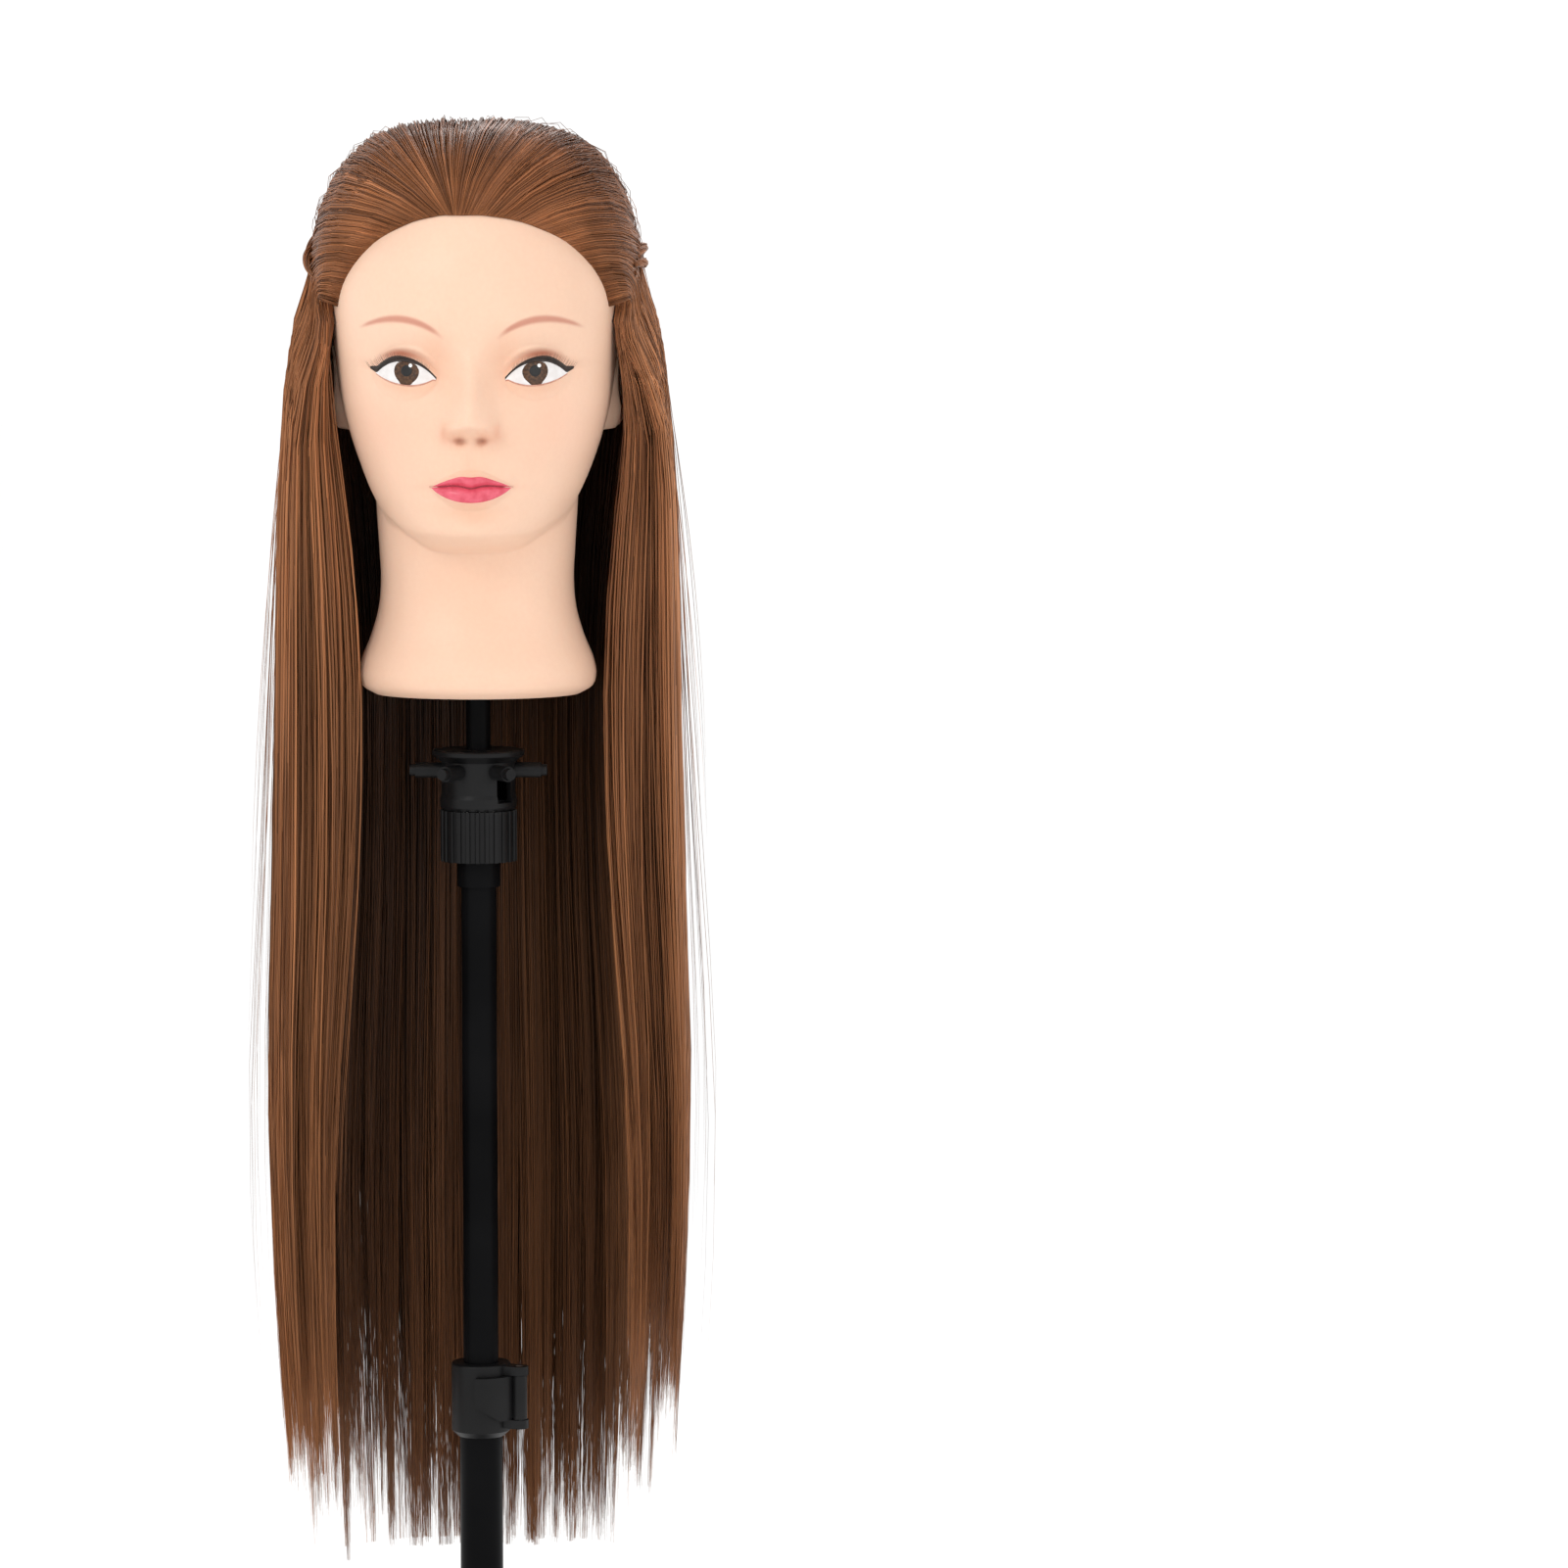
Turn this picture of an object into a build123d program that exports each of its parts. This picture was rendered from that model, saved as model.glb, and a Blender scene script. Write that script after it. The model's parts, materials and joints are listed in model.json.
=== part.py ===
from build123d import *
import os
from math import cos, pi, radians, sin, sqrt

os.makedirs("parts", exist_ok=True)

# A hairdressing training head on an adjustable tripod stand. Millimetres, +Z up, floor at Z = 0,
# face towards -Y. The parts are made round the pole's axis and moved at the end, all together,
# so that the frame's origin is the middle of the footprint.

# ---------------------------------------------------------------- driving dimensions
FIT = 0.06  # radial running clearance of a sliding or turning fit

# telescopic pole
LOWER_R = 11.0  # lower tube, outside
UPPER_R = 9.0  # upper tube, outside
UPPER_WALL = 1.5
LOWER_BORE = UPPER_R + FIT
LOWER_TOP = 545.0
UPPER_BOTTOM = 330.0
UPPER_TOP = 838.0

# height clamp at the top of the lower tube
CLAMP_BOTTOM = 518.0
CLAMP_TOP = 556.0
CLAMP_R = 15.2
LEVER_ANGLE = -22.0  # where the lever's pin stands round the pole
LEVER_PIVOT_R = 21.5
LEVER_BOSS_R = 4.0
LEVER_GAP = 1.0  # between the collar and the closed lever
LEVER_THICK = 3.2

# tripod
LEG_AZIMUTHS = (90.0, 210.0, 330.0)
SPREAD = 50.0  # leg angle from the vertical, opened
LEG_LENGTH = 390.0
BRACE = 180.0  # brace length, and the distance from the leg's pivot to the brace's
PIVOT_R = 24.0  # distance of the pivots from the pole's axis
LEG_DEPTH = 14.0
LEG_WIDTH = 9.0
LEG_WALL = 1.4
STRAP_THICK = 2.0
STRAP_DEPTH = 12.0
SIDE_GAP = 0.4
PIN_R = 2.0
EAR = 3.0
FOOT_DROP = 3.5  # rubber under the lowest corner of the leg

FOOT_RISE = LEG_DEPTH / 2 * sin(radians(SPREAD)) + FOOT_DROP
BRACE_PIVOT_Z = (LEG_LENGTH - 2 * BRACE) * cos(radians(SPREAD)) + FOOT_RISE
LEG_PIVOT_Z = LEG_LENGTH * cos(radians(SPREAD)) + FOOT_RISE

# swivel hub
HUB_TOP = 872.0
HUB_BOTTOM = 841.5
HUB_R = 19.6
FLANGE_R = 23.5
FLANGE_THICK = 6.0
STUD_Z = 861.5
STUD_R = 4.5
STUD_TIP = 35.0
RING_BOTTOM = 815.2
RING_TOP = 841.2
RING_R = 19.6
RIBS = 24
SPINDLE_R = 6.25
SPINDLE_BOTTOM = 790.0
PEG_BOTTOM = 904.0
PEG_TOP = 985.0
PEG_R_LOW = 17.0
PEG_R_HIGH = 13.5
PEG_GAP = 0.3

# head
NECK_BASE = 901.0
SHELL = 4.0
SKULL_Z = 1090.0  # widest level of the skull
SKULL_Y = 3.0
SKULL_HALF = (73.5, 91.0, 92.0)  # half width, half depth, height above SKULL_Z
PLATE = 4.0  # thickness of the plug that closes the neck
SOCKET_R = 21.0
CAP_THICK = 1.2
HAIR_THICK = 12.0
HAIR_SPLIT_Z = 1060.0  # the crown ends and the hanging hair begins


def save(piece, name):
    """Label a finished piece and keep it for the export at the end."""
    piece.label = name
    pieces[name] = piece


pieces = {}


def radial_plane(azimuth, radius, height):
    """Upright plane through the pole's axis: local x outwards, local y up."""
    a = radians(azimuth)
    return Plane(
        origin=(radius * cos(a), radius * sin(a), height),
        x_dir=(cos(a), sin(a), 0),
        z_dir=(sin(a), -cos(a), 0),
    )


def leg_plane(azimuth, along=0.0):
    """Plane of one opened leg: local x down the leg from its upper pivot."""
    a = radians(azimuth)
    s = radians(SPREAD)
    down = (sin(s) * cos(a), sin(s) * sin(a), -cos(s))
    pivot = (PIVOT_R * cos(a), PIVOT_R * sin(a), LEG_PIVOT_Z)
    start = tuple(p + along * d for p, d in zip(pivot, down))
    return Plane(origin=start, x_dir=down, z_dir=(sin(a), -cos(a), 0))


def tube(outer, inner, bottom, top):
    """A plain round tube or ring about the pole's axis."""
    with BuildPart() as ring:
        with BuildSketch(Plane.XY.offset(bottom)):
            Circle(outer)
            Circle(inner, mode=Mode.SUBTRACT)
        extrude(amount=top - bottom)
    return ring.part


def ear_block(z_pivot, core_r, bore, half_height, gap_half, outer_half):
    """A collar with three pairs of ears that hold the pivots of legs or braces."""
    with BuildPart() as collar:
        with BuildSketch(Plane.XY.offset(z_pivot - half_height)):
            Circle(core_r)
        extrude(amount=2 * half_height)
        for azimuth in LEG_AZIMUTHS:
            with BuildSketch(radial_plane(azimuth, 0, z_pivot)):
                with Locations((PIVOT_R / 2, 0)):
                    Rectangle(PIVOT_R, 16)
                with Locations((PIVOT_R, 0)):
                    Circle(8)
            extrude(amount=outer_half, both=True)
            with BuildSketch(radial_plane(azimuth, 0, z_pivot)):
                with Locations((core_r + 12, 0)):
                    Rectangle(24, 18)
            extrude(amount=gap_half, both=True, mode=Mode.SUBTRACT)
            with BuildSketch(radial_plane(azimuth, 0, z_pivot)):
                with Locations((PIVOT_R, 0)):
                    Circle(PIN_R)
            extrude(amount=outer_half, both=True, mode=Mode.SUBTRACT)
        with BuildSketch(Plane.XY.offset(z_pivot - half_height)):
            Circle(bore)
        extrude(amount=2 * half_height, mode=Mode.SUBTRACT)
        rims = collar.edges().filter_by(GeomType.CIRCLE)
        rims = rims.filter_by(lambda e: abs(e.radius - core_r) < 0.01 and e.length > core_r)
        chamfer(rims, 0.8)
    return collar.part


# ---------------------------------------------------------------- root: pole and fixed fittings
save(tube(LOWER_R, LOWER_BORE, 15, LOWER_TOP), "lower_tube")

with BuildPart() as tube_end_cap:
    with BuildSketch(Plane.XY.offset(11)):
        Circle(LOWER_R)
    extrude(amount=4)
    with BuildSketch(Plane.XY.offset(15)):
        Circle(LOWER_BORE)
    extrude(amount=15)
    fillet(tube_end_cap.edges().group_by(Axis.Z)[0], 1.5)
save(tube_end_cap.part, "tube_end_cap")

HUB_GAP = LEG_WIDTH / 2 + 2 * SIDE_GAP + STRAP_THICK
HUB_HALF = HUB_GAP + EAR
save(ear_block(BRACE_PIVOT_Z, 14.5, LOWER_R, 13, HUB_GAP, HUB_HALF), "base_hub")

with BuildPart() as hub_rivets:
    for azimuth in LEG_AZIMUTHS:
        for side in (1, -1):
            start = radial_plane(azimuth, 0, BRACE_PIVOT_Z).offset(side * (HUB_HALF - EAR))
            with BuildSketch(start):
                with Locations((PIVOT_R, 0)):
                    Circle(PIN_R)
            extrude(amount=side * EAR)
            with BuildSketch(start.offset(side * EAR)):
                with Locations((PIVOT_R, 0)):
                    Circle(3.6)
            extrude(amount=side * 1.4)
save(hub_rivets.part, "hub_rivets")

# The collar steps from the lower tube's size to the upper tube's. Two lugs carry the lever's pin,
# and a window in front of the lever's cam lets a pad through to the upper tube.
lever_angle = radians(LEVER_ANGLE)
LEVER_XY = (LEVER_PIVOT_R * cos(lever_angle), LEVER_PIVOT_R * sin(lever_angle))
LUG_R = 4.6
LUG = 4.5
LEVER_LOW = CLAMP_BOTTOM + 5.2 + LUG
LEVER_HIGH = CLAMP_TOP - 1.2 - LUG
PAD_HALF = 3.5
PAD_END = CLAMP_R + LEVER_GAP - 0.6
PAD_LOW = LOWER_TOP - 12
PAD_HIGH = LOWER_TOP

with BuildPart() as clamp_collar:
    with BuildSketch(Plane.XY.offset(CLAMP_BOTTOM)):
        Circle(CLAMP_R)
    extrude(amount=CLAMP_TOP - CLAMP_BOTTOM)
    chamfer(clamp_collar.edges().group_by(Axis.Z)[0], 3)
    fillet(clamp_collar.edges().group_by(Axis.Z)[-1], 1.2)
    for level in (LEVER_LOW - 0.3 - LUG, LEVER_HIGH + 0.3):
        with BuildSketch(Plane.XY.offset(level)):
            with Locations(LEVER_XY):
                Circle(LUG_R)
            with Locations(Location((0, 0), LEVER_ANGLE)):
                with Locations((LEVER_PIVOT_R / 2, 0)):
                    Rectangle(LEVER_PIVOT_R, 2 * LUG_R)
        extrude(amount=LUG)
    with BuildSketch(Plane.XY.offset(CLAMP_BOTTOM)):
        Circle(LOWER_BORE)
        with Locations(LEVER_XY):
            Circle(PIN_R)
    extrude(amount=CLAMP_TOP - CLAMP_BOTTOM, mode=Mode.SUBTRACT)
    with BuildSketch(Plane.XY.offset(CLAMP_BOTTOM)):
        Circle(LOWER_R)
    extrude(amount=LOWER_TOP - CLAMP_BOTTOM, mode=Mode.SUBTRACT)
    with BuildSketch(radial_plane(LEVER_ANGLE, 0, 0)):
        with Locations(((LEVER_PIVOT_R) / 2 + 2, (PAD_LOW + PAD_HIGH) / 2)):
            Rectangle(LEVER_PIVOT_R, PAD_HIGH - PAD_LOW)
    extrude(amount=PAD_HALF, both=True, mode=Mode.SUBTRACT)
save(clamp_collar.part, "clamp_collar")

with BuildPart() as clamp_pad:
    with BuildSketch(radial_plane(LEVER_ANGLE, 0, 0)):
        with Locations(((UPPER_R + PAD_END) / 2, (PAD_LOW + PAD_HIGH) / 2)):
            Rectangle(PAD_END - UPPER_R, PAD_HIGH - PAD_LOW)
    extrude(amount=PAD_HALF, both=True)
    with BuildSketch(Plane.XY.offset(PAD_LOW)):
        Circle(LOWER_R)
    extrude(amount=PAD_HIGH - PAD_LOW, mode=Mode.SUBTRACT)
save(clamp_pad.part, "clamp_pad")

with BuildPart() as clamp_pin:
    with BuildSketch(Plane.XY.offset(LEVER_LOW - 0.3 - LUG)):
        with Locations(LEVER_XY):
            Circle(PIN_R)
    extrude(amount=LEVER_HIGH - LEVER_LOW + 0.6 + 2 * LUG)
save(clamp_pin.part, "clamp_pin")

# A curved paddle that lies round the front of the collar, with a stiffening ridge on the diagonal.
with BuildPart() as clamp_lever:
    with BuildSketch(Plane.XY.offset(LEVER_LOW)):
        with BuildLine():
            inner = CLAMP_R + LEVER_GAP
            outer = inner + LEVER_THICK
            CenterArc((0, 0), inner, -98, 70)
            CenterArc((0, 0), outer, -98, 70)
            Line(PolarLine((0, 0), inner, -98, mode=Mode.PRIVATE) @ 1,
                 PolarLine((0, 0), outer, -98, mode=Mode.PRIVATE) @ 1)
            Line(PolarLine((0, 0), inner, -28, mode=Mode.PRIVATE) @ 1,
                 PolarLine((0, 0), outer, -28, mode=Mode.PRIVATE) @ 1)
        make_face()
        with Locations(LEVER_XY):
            Circle(LEVER_BOSS_R)
    extrude(amount=LEVER_HIGH - LEVER_LOW)
    with BuildSketch(Plane.XZ.offset(0)):
        with BuildLine():
            Polyline((-4, LEVER_LOW - 1), (12, LEVER_LOW - 1), (-4, LEVER_LOW + 9), close=True)
        make_face()
    extrude(amount=30, mode=Mode.SUBTRACT)
    with BuildSketch(Plane.XY.offset(LEVER_LOW)):
        with Locations(LEVER_XY):
            Circle(PIN_R + FIT)
    extrude(amount=LEVER_HIGH - LEVER_LOW, mode=Mode.SUBTRACT)
save(clamp_lever.part, "clamp_lever")

# ---------------------------------------------------------------- sliding leg collar and its knob
COLLAR_HALF = 17.0
COLLAR_GAP = LEG_WIDTH / 2 + SIDE_GAP
KNOB_Z = LEG_PIVOT_Z + 4
BOSS_END = 21.0
STEM_R = 3.0

with BuildPart() as leg_collar:
    add(ear_block(LEG_PIVOT_Z, 14.5, LOWER_R + FIT, COLLAR_HALF, COLLAR_GAP, COLLAR_GAP + EAR))
    boss_plane = Plane(origin=(0, -12.5, KNOB_Z), x_dir=(1, 0, 0), z_dir=(0, -1, 0))
    with BuildSketch(boss_plane):
        Circle(7)
    extrude(amount=BOSS_END - 12.5)
    with BuildSketch(boss_plane.offset(-2)):
        Circle(STEM_R + FIT)
    extrude(amount=BOSS_END - 10, mode=Mode.SUBTRACT)
save(leg_collar.part, "leg_collar")

with BuildPart() as collar_pins:
    for azimuth in LEG_AZIMUTHS:
        half = COLLAR_GAP + EAR
        with BuildSketch(radial_plane(azimuth, 0, LEG_PIVOT_Z).offset(-half)):
            with Locations((PIVOT_R, 0)):
                Circle(PIN_R)
        extrude(amount=2 * half)
        for side in (1, -1):
            with BuildSketch(radial_plane(azimuth, 0, LEG_PIVOT_Z).offset(side * half)):
                with Locations((PIVOT_R, 0)):
                    Circle(3.6)
            extrude(amount=side * 1.4)
save(collar_pins.part, "collar_pins")

KNOB_START = BOSS_END + 0.5
KNOB_END = KNOB_START + 16
with BuildPart() as knob_stem:
    with BuildSketch(Plane(origin=(0, -LOWER_R - 0.1, KNOB_Z), x_dir=(1, 0, 0), z_dir=(0, -1, 0))):
        Circle(STEM_R)
    extrude(amount=KNOB_END - 4 - LOWER_R - 0.1)
save(knob_stem.part, "knob_stem")

with BuildPart() as collar_knob:
    knob_plane = Plane(origin=(0, -KNOB_START, KNOB_Z), x_dir=(1, 0, 0), z_dir=(0, -1, 0))
    with BuildSketch(knob_plane):
        Circle(10.5)
        with PolarLocations(10.5, 6):
            Circle(3.2)
    extrude(amount=KNOB_END - KNOB_START)
    fillet(collar_knob.faces().sort_by(Axis.Y)[0].edges(), 1.2)
    with BuildSketch(knob_plane):
        Circle(STEM_R)
    extrude(amount=KNOB_END - 4 - KNOB_START, mode=Mode.SUBTRACT)
save(collar_knob.part, "collar_knob")

# ---------------------------------------------------------------- legs, feet, rivets and braces
STRAP_MID = LEG_WIDTH / 2 + SIDE_GAP + STRAP_THICK / 2
RIVET_HALF = STRAP_MID + STRAP_THICK / 2 + 0.2
for number, azimuth in enumerate(LEG_AZIMUTHS, start=1):
    with BuildPart() as leg:
        with BuildSketch(leg_plane(azimuth)):
            with Locations((LEG_LENGTH / 2, 0)):
                Rectangle(LEG_LENGTH, LEG_DEPTH)
            Circle(LEG_DEPTH / 2)
        extrude(amount=LEG_WIDTH / 2, both=True)
        with BuildSketch(leg_plane(azimuth)):
            with Locations(((LEG_LENGTH + 16) / 2, 0)):
                Rectangle(LEG_LENGTH - 16, LEG_DEPTH - 2 * LEG_WALL)
        extrude(amount=LEG_WIDTH / 2 - LEG_WALL, both=True, mode=Mode.SUBTRACT)
        with BuildSketch(leg_plane(azimuth)):
            Circle(PIN_R + FIT)
            with Locations((BRACE, 0)):
                Circle(PIN_R)
        extrude(amount=LEG_WIDTH, both=True, mode=Mode.SUBTRACT)
    save(leg.part, f"leg_{number}")

    with BuildPart() as foot:
        with BuildSketch(leg_plane(azimuth)):
            with Locations((LEG_LENGTH - 11, 0)):
                Rectangle(40, LEG_DEPTH + 6)
        extrude(amount=LEG_WIDTH / 2 + 3, both=True)
        fillet(foot.edges().filter_by(Axis((0, 0, 0), leg_plane(azimuth).x_dir)), 2)
        with BuildSketch(leg_plane(azimuth)):
            with Locations((LEG_LENGTH - 20, 0)):
                Rectangle(40, LEG_DEPTH)
        extrude(amount=LEG_WIDTH / 2, both=True, mode=Mode.SUBTRACT)
        split(bisect_by=Plane.XY, keep=Keep.TOP)
    save(foot.part, f"foot_{number}")

    with BuildPart() as rivet:
        with BuildSketch(leg_plane(azimuth).offset(-RIVET_HALF)):
            with Locations((BRACE, 0)):
                Circle(PIN_R)
        extrude(amount=2 * RIVET_HALF)
        for side in (1, -1):
            with BuildSketch(leg_plane(azimuth).offset(side * RIVET_HALF)):
                with Locations((BRACE, 0)):
                    Circle(3.6)
            extrude(amount=side * 1.4)
    save(rivet.part, f"leg_rivet_{number}")

    # each brace is a pair of flat straps that straddle the leg; the lower end stands in the hub
    a = radians(azimuth)
    s = radians(SPREAD)
    brace_top = leg_plane(azimuth, BRACE).origin
    to_hub = (-sin(s) * cos(a), -sin(s) * sin(a), -cos(s))
    strap_plane = Plane(origin=brace_top, x_dir=to_hub, z_dir=(sin(a), -cos(a), 0))
    with BuildPart() as brace:
        for side in (1, -1):
            with BuildSketch(strap_plane.offset(side * STRAP_MID)):
                with Locations((BRACE / 2, 0)):
                    SlotCenterToCenter(BRACE, STRAP_DEPTH)
                with Locations((0, 0), (BRACE, 0)):
                    Circle(PIN_R + FIT, mode=Mode.SUBTRACT)
            extrude(amount=STRAP_THICK / 2, both=True)
    save(brace.part, f"brace_{number}")

# ---------------------------------------------------------------- mast: upper tube and its fittings
save(tube(UPPER_R, UPPER_R - UPPER_WALL, UPPER_BOTTOM, UPPER_TOP), "upper_tube")
save(tube(UPPER_R + 2, UPPER_R, 802, 815), "tube_sleeve")
save(tube(UPPER_R - UPPER_WALL, SPINDLE_R + FIT, 800, UPPER_TOP), "bearing_bush")
save(tube(15.5, UPPER_R, 824, UPPER_TOP), "mast_flange")
save(tube(15.0, SPINDLE_R + FIT, UPPER_TOP, HUB_BOTTOM - 0.1), "thrust_washer")

with BuildPart() as lock_ring:
    with BuildSketch(Plane.XY.offset(RING_BOTTOM)):
        Circle(RING_R - 1.0)
        with PolarLocations(RING_R - 1.0, RIBS):
            Circle(1.3)
        Circle(RING_R, mode=Mode.INTERSECT)
    extrude(amount=RING_TOP - RING_BOTTOM)
    with BuildSketch(Plane.XY.offset(RING_BOTTOM)):
        Circle(UPPER_R + FIT)
    extrude(amount=4, mode=Mode.SUBTRACT)
    with BuildSketch(Plane.XY.offset(RING_BOTTOM + 4)):
        Circle(16.5)
    extrude(amount=RING_TOP - RING_BOTTOM, mode=Mode.SUBTRACT)
save(lock_ring.part, "lock_ring")

# ---------------------------------------------------------------- swivel: hub, studs, spindle, peg
STUD_AZIMUTHS = [-90.0 + 30 + 60 * k for k in range(6)]
WINDOW_AZIMUTH = -43.0

with BuildPart() as hub_body:
    with BuildSketch(Plane.XZ):
        with BuildLine():
            Polyline((SPINDLE_R, HUB_BOTTOM), (HUB_R - 1.2, HUB_BOTTOM), (HUB_R, HUB_BOTTOM + 1.6),
                     (HUB_R, HUB_BOTTOM + 6), (HUB_R - 0.7, HUB_BOTTOM + 8),
                     (HUB_R - 0.7, HUB_TOP - FLANGE_THICK), (16.2, HUB_TOP - FLANGE_THICK),
                     (16.2, HUB_BOTTOM + 5), (10, HUB_BOTTOM + 5),
                     (10, HUB_TOP - FLANGE_THICK), (SPINDLE_R, HUB_TOP - FLANGE_THICK),
                     close=True)
        make_face()
    revolve(axis=Axis.Z)
    with BuildSketch(radial_plane(WINDOW_AZIMUTH, 0, 0)):
        with Locations((22, 852.5)):
            Rectangle(18, 14)
    extrude(amount=5, both=True, mode=Mode.SUBTRACT)
    for azimuth in STUD_AZIMUTHS:
        around = radians(azimuth)
        outwards = (cos(around), sin(around), 0)
        centre = (14 * cos(around), 14 * sin(around), STUD_Z)
        with BuildSketch(Plane(origin=centre, x_dir=(0, 0, 1), z_dir=outwards)):
            Circle(STUD_R - 0.6)
        extrude(amount=10, mode=Mode.SUBTRACT)
save(hub_body.part, "hub_body")

with BuildPart() as hub_flange:
    with BuildSketch(Plane.XZ):
        with BuildLine():
            Polyline((SPINDLE_R, HUB_TOP - FLANGE_THICK), (HUB_R - 0.7, HUB_TOP - FLANGE_THICK),
                     (FLANGE_R, HUB_TOP - 2.6), (FLANGE_R, HUB_TOP - 0.6),
                     (FLANGE_R - 0.6, HUB_TOP), (SPINDLE_R, HUB_TOP), close=True)
        make_face()
    revolve(axis=Axis.Z)
save(hub_flange.part, "hub_flange")

with BuildPart() as hub_studs:
    for azimuth in STUD_AZIMUTHS:
        around = radians(azimuth)
        outwards = (cos(around), sin(around), 0)
        root = (16.4 * cos(around), 16.4 * sin(around), STUD_Z)
        shoulder = (HUB_R * cos(around), HUB_R * sin(around), STUD_Z)
        with BuildSketch(Plane(origin=root, x_dir=(0, 0, 1), z_dir=outwards)):
            Circle(STUD_R - 0.6)
        extrude(amount=STUD_TIP - 16.4 - 3)
        with BuildSketch(Plane(origin=shoulder, x_dir=(0, 0, 1), z_dir=outwards)):
            Circle(STUD_R - 0.6)
        extrude(amount=STUD_TIP - HUB_R, taper=4)
save(hub_studs.part, "hub_studs")

with BuildPart() as spindle:
    with BuildSketch(Plane.XY.offset(SPINDLE_BOTTOM)):
        Circle(SPINDLE_R)
    extrude(amount=PEG_TOP - 10 - SPINDLE_BOTTOM)
    chamfer(spindle.edges().group_by(Axis.Z)[0], 1)
    with BuildSketch(Plane.XZ):
        with Locations((0, 930)):
            Circle(PIN_R)
    extrude(amount=10, both=True, mode=Mode.SUBTRACT)
save(spindle.part, "spindle")

save(tube(7.2, SPINDLE_R, 796, 798), "spindle_clip")

with BuildPart() as head_peg:
    with BuildSketch(Plane.XZ):
        with BuildLine():
            Polyline((0, PEG_TOP), (PEG_R_HIGH - 2, PEG_TOP), (PEG_R_HIGH, PEG_TOP - 3),
                     (PEG_R_LOW, PEG_BOTTOM), (SPINDLE_R, PEG_BOTTOM),
                     (SPINDLE_R, PEG_TOP - 10), (0, PEG_TOP - 10), close=True)
        make_face()
    revolve(axis=Axis.Z)
    with BuildSketch(Plane.XZ):
        with Locations((0, 930)):
            Circle(PIN_R)
    extrude(amount=14, both=True, mode=Mode.SUBTRACT)
save(head_peg.part, "head_peg")

with BuildPart() as peg_pin:
    with BuildSketch(Plane.XZ):
        with Locations((0, 930)):
            Circle(PIN_R)
    extrude(amount=14, both=True)
save(peg_pin.part, "peg_pin")


# ---------------------------------------------------------------- head
def oval_loft(levels):
    """A closed solid through ovals, each given as (z, half width, front, back)."""
    with BuildPart() as form:
        for z, half_width, front, back in levels:
            with BuildSketch(Plane.XY.offset(z)):
                with Locations((0, (front + back) / 2)):
                    Ellipse(half_width, (back - front) / 2)
        loft()
    return form.part


def skull_levels(grow):
    """Levels of the dome above the widest one."""
    wide, deep, tall = (half + grow for half in SKULL_HALF)
    levels = []
    for tilt in (0, 20, 38, 54, 68, 80):
        z = SKULL_Z + tall * sin(radians(tilt))
        ring = cos(radians(tilt))
        levels.append((z, wide * ring, SKULL_Y - deep * ring, SKULL_Y + deep * ring))
    return levels


def head_form(shrink):
    """Neck, jaw and skull as one closed solid, smaller all round by the given amount."""
    neck = ((NECK_BASE, 53, -51, 55), (912, 60, -57, 62), (932, 53, -50, 57), (956, 49, -46, 57),
            (1000, 50, -46, 62))
    jaw = ((978 + shrink, 34, -76, 30), (996, 52, -86, 64), (1016, 60, -90, 79),
           (1045, 69, -90, 88))
    column = oval_loft([(z, w - shrink, f + shrink, b - shrink) for z, w, f, b in neck])
    lower = [(z, w - shrink, f + shrink, b - shrink) for z, w, f, b in jaw]
    skull = oval_loft(lower + skull_levels(-shrink))
    with BuildPart() as form:
        add(column)
        add(skull)
    return form.part


def box_part(x_size, y_size, bottom, top):
    """A plain block used to trim other parts."""
    with BuildPart() as block:
        with BuildSketch(Plane.XY.offset(bottom)):
            Rectangle(x_size, y_size)
        extrude(amount=top - bottom)
    return block.part


inside = head_form(SHELL)

with BuildPart() as face_shell:
    add(head_form(0))
    with BuildSketch(Plane.YZ):
        with BuildLine():
            Polyline((-80, 1074), (-104.5, 1044), (-92, 1030), (-80, 1030), close=True)
        make_face()
    extrude(amount=10, both=True)
    for side in (1, -1):
        with BuildSketch(Plane.YZ.offset(side * 64)):
            with Locations((-4, 1052)):
                Ellipse(12, 27)
        extrude(amount=side * 12)
    add(inside, mode=Mode.SUBTRACT)
save(face_shell.part, "face_shell")

with BuildPart() as neck_socket:
    with BuildSketch(Plane.XZ):
        with BuildLine():
            Polyline((PEG_R_LOW + PEG_GAP, NECK_BASE), (PEG_R_LOW + PEG_GAP, PEG_BOTTOM),
                     (PEG_R_HIGH + PEG_GAP, PEG_TOP - 3), (PEG_R_HIGH + PEG_GAP, PEG_TOP + 0.3),
                     (0, PEG_TOP + 0.3), (0, PEG_TOP + 5), (SOCKET_R, PEG_TOP + 5),
                     (SOCKET_R, NECK_BASE), close=True)
        make_face()
    revolve(axis=Axis.Z)
save(neck_socket.part, "neck_socket")

with BuildPart() as neck_plug:
    add(inside)
    add(box_part(300, 300, NECK_BASE - 20, NECK_BASE + PLATE), mode=Mode.INTERSECT)
    with BuildSketch(Plane.XY.offset(NECK_BASE)):
        Circle(SOCKET_R)
    extrude(amount=PLATE, mode=Mode.SUBTRACT)
save(neck_plug.part, "neck_plug")

# ---------------------------------------------------------------- wig cap and hair
# The hair is modelled plainly here: a crown over the skull, a curtain down each side and one down
# the back, two ropes twisted round the head and a braid that hangs from where they meet.


def hair_region():
    """Everything behind the hairline and above the level where the hair leaves the head."""
    with BuildPart() as region:
        with BuildSketch(Plane.YZ):
            with BuildLine():
                Polyline((-58, 1260), (-64, 1152), (-36, 1120), (-28, HAIR_SPLIT_Z),
                         (180, HAIR_SPLIT_Z), (180, 1260), close=True)
            make_face()
        extrude(amount=150, both=True)
    return region.part


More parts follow.
